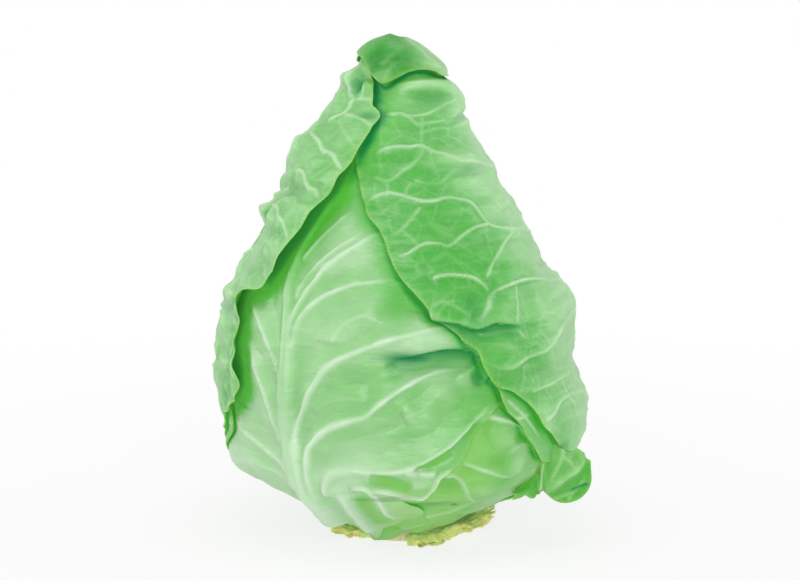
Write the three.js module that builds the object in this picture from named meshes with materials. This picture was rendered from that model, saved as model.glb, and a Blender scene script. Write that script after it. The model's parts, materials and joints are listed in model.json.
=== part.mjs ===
// Pointed cabbage, as trimmed for the kitchen, standing on its cut stem.
// Millimetres, +Z up, the front of the head towards -Y, origin at the centre of the base.
//
// Every leaf is a thin closed shell laid over one teardrop head: a place on the head is an
// angle round the axis (0 in front, positive to the right), a height, and a lift off the surface.
import * as THREE from "three";

const DEPTH = 0.95;          // front-to-back size of the head over its side-to-side size
const BLADE = 1.3;           // thickness of a leaf blade
const CUT_RADIUS = 21;       // flat cut face of the stem
const COLLAR_RADIUS = 22.5;  // stem where the lowest leaves join it
const HEART_BASE = 8;        // underside of the packed inner leaves
const CORE_TOP = 74;         // the stem's inner end, inside the head
const FIT = 0.35;            // clearance between two pieces that touch

// Lift of each leaf's inner face over the heart, from the inside outwards.
const LAYER = {
  lowerFront: 0.2,
  front: 2.5,
  leftUnder: 5.05,
  rightUnder: 4.5,
  right: 6.8,
  left: 7.6,
  tip: 10.9,
  back: 11.3,
};

const COLOUR = {
  pale: 0xc9e3bd,
  inner: 0x9bcf86,
  outer: 0x74bd66,
  rim: 0x6fba4f,
  cut: 0xd8cf8c,
};

// ---------------------------------------------------------------- the head's surface

// Radius and height up the head, from the stem's side to the point.
const HEAD = new THREE.SplineCurve(
  [
    [23.4, 0.5], [26.5, 4], [34, 10], [45, 19], [60, 28.5], [67.5, 39], [69.5, 54.5],
    [69.3, 72.5], [67, 92], [60, 110.5], [51, 127.5], [42.5, 144.5], [32, 162.5],
    [21.5, 178.5], [14, 193], [8, 202], [0, 206],
  ].map(([r, z]) => new THREE.Vector2(r, z)),
);
const STEPS = 600;
const SECTIONS = Array.from({ length: STEPS + 1 }, (_, i) => {
  const point = HEAD.getPointAt(i / STEPS);
  const along = HEAD.getTangentAt(i / STEPS);
  return { r: point.x, z: point.y, out: along.y, up: -along.x };
});

const CROWN = SECTIONS[STEPS].z;

// Distance up the head's surface, with extra where it bends, so that rows of points spaced
// evenly by it crowd together there.
SECTIONS.forEach((s, i) => {
  const last = SECTIONS[Math.max(i - 1, 0)];
  const length = Math.hypot(s.r - last.r, s.z - last.z);
  const turn = Math.abs(last.out * s.up - last.up * s.out);
  s.station = (last.station ?? 0) + length + 60 * turn;
});

// A height between two others, at a fraction of the way over the head's surface.
function heightBetween(from, to, v) {
  const [a, b] = [from, to].map((z) => SECTIONS.find((s) => s.z >= z).station);
  return SECTIONS.find((s) => s.station >= THREE.MathUtils.lerp(a, b, v)).z;
}

// The section of the head at a height: its radius and its outward direction.
function sectionAt(z) {
  const next = SECTIONS.findIndex((s) => s.z >= z);
  if (next < 0) return SECTIONS[STEPS];
  if (next === 0) return SECTIONS[0];
  const a = SECTIONS[next - 1];
  const b = SECTIONS[next];
  const k = (z - a.z) / (b.z - a.z);
  const mix = (key) => THREE.MathUtils.lerp(a[key], b[key], k);
  return { r: mix("r"), z, out: mix("out"), up: mix("up") };
}

// The point at an angle in degrees round the axis, a radius and a height.
function around(angle, r, z) {
  const a = THREE.MathUtils.degToRad(angle);
  return new THREE.Vector3(r * Math.sin(a), -DEPTH * r * Math.cos(a), z);
}

function onHead(angle, z, lift) {
  const s = sectionAt(z);
  return around(angle, s.r + lift * s.out, s.z + lift * s.up);
}

// ---------------------------------------------------------------- closed shells

// A closed solid between two grids of points with the same rows and columns. The outer grid
// runs to the right along a row and up from row to row, seen from outside. A ring joins its
// last column to its first, and a pole is one shared point that closes the top row.
function shell(outer, inner, { ring = false, pole = null } = {}) {
  const rows = outer.length;
  const columns = outer[0].length;
  const points = [...outer.flat(), ...inner.flat()];
  const half = rows * columns;
  const index = [];
  const at = (i, j) => i * columns + (j % columns);
  const quad = (a, b, c, d) => index.push(a, b, c, a, c, d);
  const across = ring ? columns : columns - 1;
  for (let i = 0; i < rows - 1; i++)
    for (let j = 0; j < across; j++) {
      quad(at(i, j), at(i, j + 1), at(i + 1, j + 1), at(i + 1, j));
      quad(half + at(i, j), half + at(i + 1, j), half + at(i + 1, j + 1), half + at(i, j + 1));
    }
  for (let j = 0; j < across; j++)
    quad(half + at(0, j), half + at(0, j + 1), at(0, j + 1), at(0, j));
  const top = rows - 1;
  if (pole) {
    points.push(...pole);
    for (let j = 0; j < across; j++) {
      index.push(at(top, j), at(top, j + 1), points.length - 2);
      index.push(half + at(top, j + 1), half + at(top, j), points.length - 1);
    }
  } else {
    for (let j = 0; j < across; j++)
      quad(at(top, j), at(top, j + 1), half + at(top, j + 1), half + at(top, j));
  }
  if (!ring)
    for (let i = 0; i < top; i++) {
      quad(at(i, 0), at(i + 1, 0), half + at(i + 1, 0), half + at(i, 0));
      const j = columns - 1;
      quad(at(i + 1, j), at(i, j), half + at(i, j), half + at(i + 1, j));
    }
  const geometry = new THREE.BufferGeometry().setFromPoints(points).setIndex(index);
  geometry.computeVertexNormals();
  return geometry;
}

const smooth = (x, from, to) => THREE.MathUtils.smoothstep(x, from, to);
const hill = (x, centre, width) => Math.exp(-(((x - centre) / width) ** 2));

// A leaf that wraps the head. Its outline is a list of rows, each with a height and the
// angles of the left margin, the midrib and the right margin. The grid has a column on each
// side of the midrib, which stands proud of the blade and fades towards the tip.
function wrapper({ rows, across, up, layer, root = layer, lift = () => 0, rib, foot = [0, 0] }) {
  const heights = rows.map((row) => row[0]);
  const outline = new THREE.CubicInterpolant(heights, rows.flatMap((row) => row.slice(1)), 3);
  const [nLeft, nRight] = across;
  const outer = [];
  const inner = [];
  for (let i = 0; i <= up; i++) {
    const v = i / up;
    const height = heightBetween(heights[0], heights.at(-1), v);
    const [a, m, b] = outline.evaluate(height);
    const section = sectionAt(height);
    const ribAngle = THREE.MathUtils.radToDeg((rib.width * (1 - 0.6 * v)) / section.r / 2);
    const angles = [];
    for (let j = 0; j <= nLeft; j++)
      angles.push(THREE.MathUtils.lerp(a, m - ribAngle, j / nLeft));
    angles.push(m);
    for (let j = 0; j <= nRight; j++)
      angles.push(THREE.MathUtils.lerp(m + ribAngle, b, j / nRight));
    const outerRow = [];
    const innerRow = [];
    for (const angle of angles) {
      // The blade's foot rises away from the midrib, so the leaf narrows to its stalk.
      const onLeft = angle < m;
      const side = onLeft ? (m - angle) / (m - a) : (angle - m) / (b - m);
      const z = height + foot[onLeft ? 0 : 1] * side ** 1.5 * (1 - v) ** 3;
      const base = THREE.MathUtils.lerp(root, layer, smooth(z, 11, 28)) + lift(angle, z);
      const proud = angle === m ? rib.height * (1 - v) ** 1.3 : 0;
      innerRow.push(onHead(angle, z, base));
      outerRow.push(onHead(angle, z, base + BLADE + proud));
    }
    outer.push(outerRow);
    inner.push(innerRow);
  }
  return shell(outer, inner);
}

// ---------------------------------------------------------------- stem and heart

// A turned body with the head's oval plan, from its profile in radius and height.
function turned(profile, segments) {
  const points = profile.map(([r, z]) => new THREE.Vector2(r, z));
  return new THREE.LatheGeometry(points, segments).rotateX(Math.PI / 2).scale(1, DEPTH, 1);
}

// The cut stem: a flat trimmed face, the collar that the leaves join, and the core inside.
function stem() {
  return turned(
    [
      [0, 0], [CUT_RADIUS, 0], [COLLAR_RADIUS, 2.5], [COLLAR_RADIUS, 6.5], [20.5, 11],
      [17, 30], [12, 58], [7, CORE_TOP - 4], [0, CORE_TOP],
    ],
    32,
  );
}

// The packed inner leaves, one tight body with a pocket for the core.
function heart() {
  const outside = SECTIONS.filter((s, i) => s.z > HEART_BASE + 2 && i % 26 === 0);
  return turned(
    [
      [0, CORE_TOP + FIT], [7 + FIT, CORE_TOP - 4 + FIT], [12 + FIT, 58 + FIT],
      [17 + FIT, 30], [20.5 + FIT, 11 + FIT], [COLLAR_RADIUS + FIT, HEART_BASE],
      [28, HEART_BASE],
      ...outside.map((s) => [s.r - 2 * FIT, s.z]),
      [0, CROWN - FIT],
    ],
    36,
  );
}

// ---------------------------------------------------------------- leaves

// The big smooth leaf in front, with its broad pale midrib on the left.
const frontLeaf = () =>
  wrapper({
    rows: [
      [8, -72, -36, -14], [15, -86, -34.5, 0], [22, -95, -33.5, 11], [29, -101, -34, 16],
      [36, -105, -35, 19], [45, -109, -35.5, 27], [55, -110, -37.5, 38], [66, -110, -38, 50],
      [84, -109, -38.5, 62], [105, -106, -43, 60], [118, -102, -46, 55], [133, -98, -45, 50],
      [146, -94, -39, 44], [159, -84, -28, 38], [178, -70, -22, 26],
    ],
    across: [8, 9],
    up: 17,
    layer: LAYER.front,
    foot: [6, 22],
    rib: { width: 17, height: 5 },
  });

// The lobed leaf below it, which reaches down to the table in front of the stem.
const lowerFrontLeaf = () =>
  wrapper({
    rows: [
      [3.4, -28, -16, 44], [7, -31, -12, 56], [14, -32, 0, 70], [25, -30, 14, 82],
      [36, -26, 20, 90], [48, -24, 24, 94],
    ],
    across: [6, 10],
    up: 9,
    layer: LAYER.lowerFront,
    foot: [3, 9],
    lift: (angle, z) => 3 * hill(angle, -16, 15) * (1 - smooth(z, 5, 14)),
    rib: { width: 8, height: 0.2 },
  });

// The blistered leaf that wraps the right side and half of the back.
const rightLeaf = () =>
  wrapper({
    rows: [
      [14, 94, 112, 140], [30, 88, 113, 168], [40, 80, 113, 180], [45, 67, 113, 184],
      [51, 60, 112, 188], [61, 50, 112, 192], [70, 42.5, 112, 194], [76, 34, 112, 195],
      [87, 30, 112, 195], [94, 25, 112, 195], [102, 12.7, 112, 195], [113, 5.8, 112, 194],
      [125, -1.8, 112, 192], [136, -7.3, 112, 189], [146, -15, 112, 187],
      [160, -23.5, 112, 184], [170, -36, 112, 182], [182, -56, 110, 182],
      [193, -84, 106, 184], [200, -100, 100, 180],
    ],
    across: [8, 6],
    up: 20,
    layer: LAYER.right,
    root: 1.2,
    foot: [5, 5],
    lift: (angle, z) =>
      3.4 * hill(angle, 92, 42) * (hill(z, 52, 17) + hill(z, 100, 9)) +
      3.6 * hill(angle, 76, 44) * hill(z, 186, 9) -
      3 * smooth(z, 172, 192),
    rib: { width: 13, height: 3.6 },
  });

// The narrow leaf that shows beneath the right leaf's lower margin.
const rightUnderLeaf = () =>
  wrapper({
    rows: [
      [40, 61, 78, 96], [49, 51, 74, 98], [54, 47, 70, 100], [60, 43, 68, 100],
      [67, 37, 66, 100], [74, 34.8, 66, 100], [81, 31, 64, 100], [90, 28, 62, 100],
      [94, 24, 60, 100], [102, 15, 58, 98], [110, 14, 58, 98],
    ],
    across: [5, 4],
    up: 9,
    layer: LAYER.rightUnder,
    rib: { width: 6, height: 0.2 },
  });

// The leaf on the left, whose rolled margin stands clear of the front leaf.
const leftLeaf = () =>
  wrapper({
    rows: [
      [14, -140, -122, -108], [30, -168, -116, -98], [42, -180, -114, -90],
      [50, -184, -114, -76], [59, -187, -114, -62], [72, -191, -114, -53],
      [84, -193, -114, -55], [95, -194, -114, -58], [103, -194, -114, -61],
      [109, -194, -114, -53], [119, -194, -114, -48], [133, -192, -114, -42.6],
      [144, -190, -113, -35.4], [159, -188, -112, -24.4], [172, -186, -110, -15],
      [181, -185, -109, -14], [189, -184, -107, -20], [197, -182, -106, -38],
    ],
    across: [7, 7],
    up: 20,
    layer: LAYER.left,
    root: 1.2,
    foot: [5, 5],
    lift: (angle, z) =>
      1.7 * (1 - smooth(angle, -165, -148)) +
      1.7 * smooth(z, 140, 165) +
      3 * smooth(angle, -78, -42) * hill(z, 130, 30) -
      1.8 * hill(angle, -125, 25) * hill(z, 20, 7) -
      2.4 * smooth(z, 172, 190),
    rib: { width: 13, height: 3.6 },
  });

// The leaf beneath it, whose edge shows low on the left.
const leftUnderLeaf = () =>
  wrapper({
    rows: [
      [33, -150, -126, -102], [44, -158, -126, -88], [56, -160, -126, -75],
      [70, -160, -126, -70], [96, -160, -126, -73], [124, -160, -126, -80],
    ],
    across: [7, 6],
    up: 9,
    layer: LAYER.leftUnder,
    rib: { width: 9, height: 0.2 },
  });

// The outermost leaf, up the middle of the back. Its left shoulder flares at the top.
const backLeaf = () =>
  wrapper({
    rows: [
      [9, 166, 182, 198], [20, 148, 182, 214], [33, 134, 182, 230], [54, 124, 182, 238],
      [78, 120, 182, 242], [104, 120, 182, 243], [134, 124, 182, 243], [158, 130, 182, 233],
      [178, 140, 184, 227], [191, 160, 200, 222],
    ],
    across: [6, 6],
    up: 16,
    layer: LAYER.back,
    root: 4,
    lift: (angle, z) => 0.5 * (1 - smooth(z, 45, 65)) + 2 * smooth(z, 135, 160),
    rib: { width: 14, height: 4 },
  });

// The folded tip that hoods the point of the head, with a pointed lobe in front.
function tipLeaf() {
  const columns = 26;
  const rows = 5;
  const margin = (angle) =>
    199.5 - 8 * hill(angle, -12, 24) - 12 * (hill(angle, -190, 55) + hill(angle, 170, 55));
  const base = (z) => LAYER.tip - 3 * smooth(z, CROWN - 8, CROWN);
  const grid = (thick) =>
    Array.from({ length: rows }, (_, i) =>
      Array.from({ length: columns }, (_, j) => {
        const angle = -180 + (360 * j) / columns;
        const z = THREE.MathUtils.lerp(margin(angle), CROWN - 0.5, (i / rows) ** 0.8);
        return onHead(angle, z, base(z) + thick);
      }),
    );
  const pole = [BLADE, 0].map((thick) => new THREE.Vector3(0, 0, CROWN + base(CROWN) + thick));
  return shell(grid(BLADE), grid(0), { ring: true, pole });
}

// The free lobe low on the right: it leaves the stem, runs out under the head and turns up.
function lowerRightLeaf() {
  const columns = 12;
  const rows = 8;
  const profile = new THREE.SplineCurve(
    [[35, 9], [48, 12.5], [64, 14.5], [76.5, 18], [80, 24], [78, 32]].map(
      ([r, z]) => new THREE.Vector2(r, z),
    ),
  );
  const grid = (side) =>
    Array.from({ length: rows + 1 }, (_, i) =>
      Array.from({ length: columns + 1 }, (_, j) => {
        const across = (2 * j) / columns - 1;
        const notch = 0.16 * hill(across, -0.35, 0.16);
        const v = (i / rows) * (1 - 0.3 * across ** 4 - notch);
        const angle = 76 + across * THREE.MathUtils.lerp(16, 30, v);
        const point = profile.getPoint(v);
        const along = profile.getTangent(v);
        const lift = (side * BLADE) / 2;
        return around(angle, point.x + along.y * lift, point.y - along.x * lift);
      }),
    );
  return shell(grid(1), grid(-1));
}

// What is left of an older leaf's stalk, cut off short against the stem.
function stub({ angle, width, length, height, droop }) {
  const columns = 4;
  const rows = 3;
  const grid = (side) =>
    Array.from({ length: rows + 1 }, (_, i) =>
      Array.from({ length: columns + 1 }, (_, j) => {
        const across = j / columns - 0.5;
        const out = length * (1 - i / rows) * (1 - 0.5 * across ** 2);
        const turn = THREE.MathUtils.radToDeg((width * across) / (COLLAR_RADIUS + 4));
        const thick = 3.2 * (1 - 1.6 * across ** 2) * (0.45 + 0.55 * (i / rows));
        const z = height - droop * (out / length) ** 2 + side * thick;
        return around(angle + turn, COLLAR_RADIUS / DEPTH + FIT + out, z);
      }),
    );
  return shell(grid(0.5), grid(-0.5));
}

const STUBS = [
  { angle: -50, width: 12, length: 8, height: 2.6, droop: 0.3 },
  { angle: 20, width: 12, length: 9, height: 2.1, droop: 0.3 },
  { angle: 50, width: 13, length: 12, height: 3.2, droop: 0.5 },
  { angle: 84, width: 15, length: 13, height: 3.8, droop: 0.6 },
  { angle: 124, width: 16, length: 9, height: 3.8, droop: 0.5 },
  { angle: 166, width: 15, length: 8, height: 3.2, droop: 0.5 },
  { angle: 208, width: 16, length: 10, height: 3.6, droop: 0.5 },
  { angle: 252, width: 15, length: 8, height: 3.2, droop: 0.5 },
];

// ---------------------------------------------------------------- assembly

const cabbage = new THREE.Group();

// The head is not quite straight: it sets off to the right of its middle and bends back twice.
const lean = (z) => 3.7 * (1 - smooth(z, 48, 80)) - 2.2 * hill(z, 155, 22) + 2.5 * smooth(z, 176, 190);

function add(name, geometry, color, roughness = 0.55) {
  const points = geometry.getAttribute("position");
  for (let i = 0; i < points.count; i++) points.setX(i, points.getX(i) + lean(points.getZ(i)));
  const material = new THREE.MeshStandardMaterial({ color, roughness, metalness: 0 });
  const mesh = new THREE.Mesh(geometry, material);
  mesh.name = name;
  cabbage.add(mesh);
}

add("stem", stem(), COLOUR.cut, 0.7);
add("heart", heart(), COLOUR.inner);
add("lower_front_leaf", lowerFrontLeaf(), COLOUR.inner);
add("front_leaf", frontLeaf(), COLOUR.pale);
add("left_under_leaf", leftUnderLeaf(), COLOUR.inner);
add("right_under_leaf", rightUnderLeaf(), COLOUR.inner);
add("right_leaf", rightLeaf(), COLOUR.outer);
add("left_leaf", leftLeaf(), COLOUR.outer);
add("tip_leaf", tipLeaf(), COLOUR.outer);
add("back_leaf", backLeaf(), COLOUR.outer);
add("lower_right_leaf", lowerRightLeaf(), COLOUR.rim);
STUBS.forEach((size, i) => add(`stalk_stub_${i + 1}`, stub(size), COLOUR.cut, 0.7));

// The origin is the centre of the base of the whole head's box.
const box = new THREE.Box3().setFromObject(cabbage);
cabbage.position.set(-(box.min.x + box.max.x) / 2, -(box.min.y + box.max.y) / 2, -box.min.z);

export default cabbage;
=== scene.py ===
import json
import math

import bpy
import numpy as np
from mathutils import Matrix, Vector


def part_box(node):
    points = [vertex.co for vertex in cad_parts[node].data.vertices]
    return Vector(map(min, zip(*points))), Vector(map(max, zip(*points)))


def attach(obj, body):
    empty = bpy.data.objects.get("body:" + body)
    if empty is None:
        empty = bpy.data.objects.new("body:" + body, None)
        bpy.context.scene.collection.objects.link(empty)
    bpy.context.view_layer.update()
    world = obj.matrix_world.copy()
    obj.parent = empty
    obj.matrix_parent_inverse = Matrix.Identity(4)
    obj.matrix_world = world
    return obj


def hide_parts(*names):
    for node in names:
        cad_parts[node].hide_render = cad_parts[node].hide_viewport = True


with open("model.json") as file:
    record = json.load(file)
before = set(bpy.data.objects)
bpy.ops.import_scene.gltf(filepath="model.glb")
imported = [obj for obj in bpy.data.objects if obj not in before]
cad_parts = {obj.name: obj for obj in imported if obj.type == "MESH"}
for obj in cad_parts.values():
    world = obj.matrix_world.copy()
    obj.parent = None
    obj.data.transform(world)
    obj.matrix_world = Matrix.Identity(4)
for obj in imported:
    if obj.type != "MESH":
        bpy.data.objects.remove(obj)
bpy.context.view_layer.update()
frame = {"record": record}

MM = 0.001
HANDFUL = 8000              # how many places are measured at a time

# ------------------------------------------------------------------------ camera

LENS = 120.35
SENSOR = 36.0
DISTANCE = 1150.0
ELEVATION = math.radians(10)
AIM = np.array([-1.1, 0.0, 104.8])
AIM_DRAWN = 109.65          # the height that the front elevation gives to the aim point
BACKWARD = np.array([0.0, -math.cos(ELEVATION), math.sin(ELEVATION)])
UPWARD = np.array([0.0, math.sin(ELEVATION), math.cos(ELEVATION)])
EYE = AIM + DISTANCE * BACKWARD
TRIED = np.linspace(DISTANCE - 125, DISTANCE + 60, 2400)    # where a sight line may meet the head

# ------------------------------------------------------------------------ the head

DEPTH = 0.95                # how deep the head is for its width
PROFILE = [                 # how far out, and how high
    (23.4, 0.5), (26.5, 4), (34, 10), (45, 19), (60, 28.5), (67.5, 39), (69.5, 54.5),
    (69.3, 72.5), (67, 92), (60, 110.5), (51, 127.5), (42.5, 144.5), (32, 162.5),
    (21.5, 178.5), (14, 193), (8, 202), (0, 206),
]
CROWN = 206.0


def even_spline(points, count):
    """The curve through points, sampled evenly by its parameter."""
    p = np.array(points, float)
    last = len(p) - 1
    t = np.linspace(0, last, count)
    i = np.minimum(t.astype(int), last - 1)
    w = (t - i)[:, None]
    a, b, c, d = p[np.maximum(i - 1, 0)], p[i], p[i + 1], p[np.minimum(i + 2, last)]
    out, back = (c - a) / 2, (d - b) / 2
    return ((2 * b - 2 * c + out + back) * w**3 + (3 * c - 3 * b - 2 * out - back) * w**2
            + out * w + b)


SKIN = even_spline(PROFILE, 1600)
SKIN_RUN = np.gradient(SKIN, axis=0)
SKIN_RUN /= np.linalg.norm(SKIN_RUN, axis=1)[:, None]
SKIN_OUT, SKIN_UP = SKIN_RUN[:, 1], -SKIN_RUN[:, 0]


def smooth(x, low, high):
    """Eases from 0 at low to 1 at high."""
    t = np.clip((np.asarray(x, float) - low) / (high - low), 0, 1)
    return t * t * (3 - 2 * t)


def hill(x, centre, width):
    """A soft bump: 1 at its centre."""
    return np.exp(-(((np.asarray(x, float) - centre) / width) ** 2))


def lean(z):
    """How far right of straight the head stands at a height."""
    return 3.7 * (1 - smooth(z, 48, 80)) - 2.2 * hill(z, 155, 22) + 2.5 * smooth(z, 176, 190)


stem_low, stem_high = (np.array(corner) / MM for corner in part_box("stem"))
AXIS_X, AXIS_Y = (stem_low[:2] + stem_high[:2]) / 2
AXIS_X -= lean(0)


def on_head(angle, height, lift=0.0):
    """Points at places on the head, in the part's frame."""
    a = np.radians(angle)
    out = np.interp(height, SKIN[:, 1], SKIN_OUT)
    up = np.interp(height, SKIN[:, 1], SKIN_UP)
    r = np.interp(height, SKIN[:, 1], SKIN[:, 0]) + lift * out
    z = height + lift * up
    return np.stack([AXIS_X + lean(z) + r * np.sin(a), AXIS_Y - DEPTH * r * np.cos(a), z], -1)


def outward(angle, height):
    """The head's outward direction at each place."""
    a = np.radians(angle)
    out = np.interp(height, SKIN[:, 1], SKIN_OUT)
    up = np.interp(height, SKIN[:, 1], SKIN_UP)
    n = np.stack([out * np.sin(a), -out * np.cos(a), up + 0 * a], -1)
    return n / np.linalg.norm(n, axis=-1, keepdims=True)


def sight(points):
    """The directions from the eye to points of the front elevation."""
    p = np.array(points, float).reshape(-1, 2)
    aim = AIM + p[:, :1] * [1.0, 0, 0] + (p[:, 1:] - AIM_DRAWN) * UPWARD
    ray = aim - EYE
    return ray / np.linalg.norm(ray, axis=1)[:, None]


def seen(points, lift):
    """Angle and height of the places on the head behind points of the front elevation."""
    ray = sight(points)
    p = EYE + ray[:, None, :] * TRIED[None, :, None]
    x = p[..., 0] - AXIS_X - lean(p[..., 2])
    y = (p[..., 1] - AXIS_Y) / DEPTH
    r = np.hypot(x, y)
    skin_r = SKIN[:, 0] + lift * SKIN_OUT
    skin_z = SKIN[:, 1] + lift * SKIN_UP
    order = np.argsort(skin_z)
    gap = r - np.interp(p[..., 2], skin_z[order], skin_r[order], left=0, right=0)
    hit = np.where((gap < 0).any(1), (gap < 0).argmax(1), gap.argmin(1))
    row = np.arange(len(p))
    angle = np.degrees(np.arctan2(x[row, hit], -y[row, hit]))
    near = (skin_r - r[row, hit, None]) ** 2 + (skin_z - p[row, hit, 2, None]) ** 2
    return np.stack([angle, SKIN[near.argmin(1), 1]], -1)


def seen_on(points, layer, start):
    """Places behind points of the front elevation on a layer that varies over the head."""
    places = seen(points, start)
    for _ in range(3):
        lifts = layer(places[:, 0], places[:, 1])
        places = np.concatenate([seen(p, lift) for p, lift in zip(points, lifts)])
    return places


def path(*numbers):
    """Points of the front elevation, given as one run of x, z, x, z."""
    return np.array(numbers, float).reshape(-1, 2)


def at_depth(points, y):
    """Places behind points of the front elevation, on the upright plane at y."""
    ray = sight(points)
    return EYE + ray * ((np.asarray(y, float).reshape(-1) - EYE[1]) / ray[:, 1])[:, None]


def drawn(places):
    """The front elevation's points in front of places."""
    ray = np.asarray(places) - EYE
    aim = ray * (-DISTANCE / (ray @ BACKWARD))[..., None] + EYE - AIM
    return np.stack([aim[..., 0], aim @ UPWARD + AIM_DRAWN], -1)


def nearest(where, spots):
    """Distance from each place to the nearest of the spots, and which spot that is."""
    d, k = np.empty(len(where)), np.empty(len(where), int)
    for part in np.array_split(np.arange(len(where)), max(len(where) // HANDFUL, 1)):
        gap = ((where[part][:, None, :] - spots[None]) ** 2).sum(-1)
        k[part] = gap.argmin(1)
        d[part] = np.sqrt(gap[np.arange(len(part)), k[part]])
    return d, k


def beside_drawn(line, points):
    """Distance to a drawn line, fraction along it, and which side: above a line to the right
    is positive."""
    line = even_spline(line, 30 * len(line))
    d, k = nearest(points, line)
    along, gap = np.gradient(line, axis=0)[k], points - line[k]
    side = along[:, 0] * gap[:, 1] - along[:, 1] * gap[:, 0]
    return d, k / (len(line) - 1), np.sign(side)


# ------------------------------------------------------------------------ noise

def lattice(i, j, k, seed):
    """A fixed scatter of values, 0 to 1, one for each point of a grid."""
    n = i * 374761393 + j * 668265263 + k * 1442695041 + seed * 1274126177
    n = (n ^ (n >> 13)) & 0xFFFFFFFF
    n = (n * 1274126177) & 0xFFFFFFFF
    n = (n ^ (n >> 15)) & 0xFFFFFFFF
    n = (n * 2246822519) & 0xFFFFFFFF
    return ((n ^ (n >> 16)) & 0xFFFFFF) / 0xFFFFFF


def noise(where, size, seed):
    """Smooth lumps of about a size, from -1 to 1."""
    q = np.asarray(where) / size + 100
    i = np.floor(q).astype(np.int64)
    f = q - i
    w = f * f * f * (f * (f * 6 - 15) + 10)
    total = 0
    for a in (0, 1):
        for b in (0, 1):
            for c in (0, 1):
                weight = (w[..., 0] if a else 1 - w[..., 0]) * (w[..., 1] if b else 1 - w[..., 1])
                weight = weight * (w[..., 2] if c else 1 - w[..., 2])
                total = total + weight * lattice(i[..., 0] + a, i[..., 1] + b, i[..., 2] + c, seed)
    return 2 * total - 1


def lumps(where, size, seed):
    """Noise with finer noise on it."""
    return sum(noise(where, size / 2**k, seed + 17 * k) / 2**k for k in range(3)) / 1.6


def cells(where, size, seed):
    """Distances to the nearest and second nearest of scattered points, over the size."""
    q = np.asarray(where) / size + 100
    home = np.floor(q).astype(np.int64)
    first = np.full(q.shape[:-1], 9.0)
    second = first.copy()
    for a in (-1, 0, 1):
        for b in (-1, 0, 1):
            for c in (-1, 0, 1):
                i, j, k = home[..., 0] + a, home[..., 1] + b, home[..., 2] + c
                spot = np.stack([i + lattice(i, j, k, seed), j + lattice(i, j, k, seed + 1),
                                 k + lattice(i, j, k, seed + 2)], -1)
                d = np.linalg.norm(spot - q, axis=-1)
                second = np.minimum(second, np.maximum(d, first))
                first = np.minimum(first, d)
    return first, second


# ------------------------------------------------------------------------ lines on the head

STEP = 0.8                  # how far apart the points of a line on the head are


def course(points):
    """A smooth line through (angle, height) places: points along it on the bare head."""
    dense = even_spline(points, 60 * len(points))
    xyz = on_head(dense[:, 0], dense[:, 1])
    run = np.concatenate([[0], np.cumsum(np.linalg.norm(np.diff(xyz, axis=0), axis=1))])
    count = max(int(run[-1] / STEP), 4)
    at = np.linspace(0, run[-1], count)
    spots = np.stack([np.interp(at, run, xyz[:, k]) for k in range(3)], -1)
    ang = np.interp(at, run, dense[:, 0])
    hgt = np.interp(at, run, dense[:, 1])
    along = np.gradient(spots, axis=0)
    left = np.cross(outward(ang, hgt), along)
    left /= np.linalg.norm(left, axis=1)[:, None]
    return {"spots": spots, "left": left, "run": at, "length": run[-1]}


def beside(line, where, reach):
    """For each place: distance to a line, fraction along it, and distance to its left."""
    d, t, side = np.full(len(where), 1e3), np.zeros(len(where)), np.zeros(len(where))
    spots = line["spots"]
    lo, hi = spots.min(0) - reach, spots.max(0) + reach
    part = np.flatnonzero(((where > lo) & (where < hi)).all(1))
    d[part], k = nearest(where[part], spots)
    t[part] = line["run"][k] / line["length"]
    side[part] = ((where[part] - spots[k]) * line["left"][k]).sum(1)
    return d, t, side


FINEST = 0.65               # the thinnest vein that the leaf grids can carry
BARELY = 1e-6               # keeps an easing's two ends apart


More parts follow.
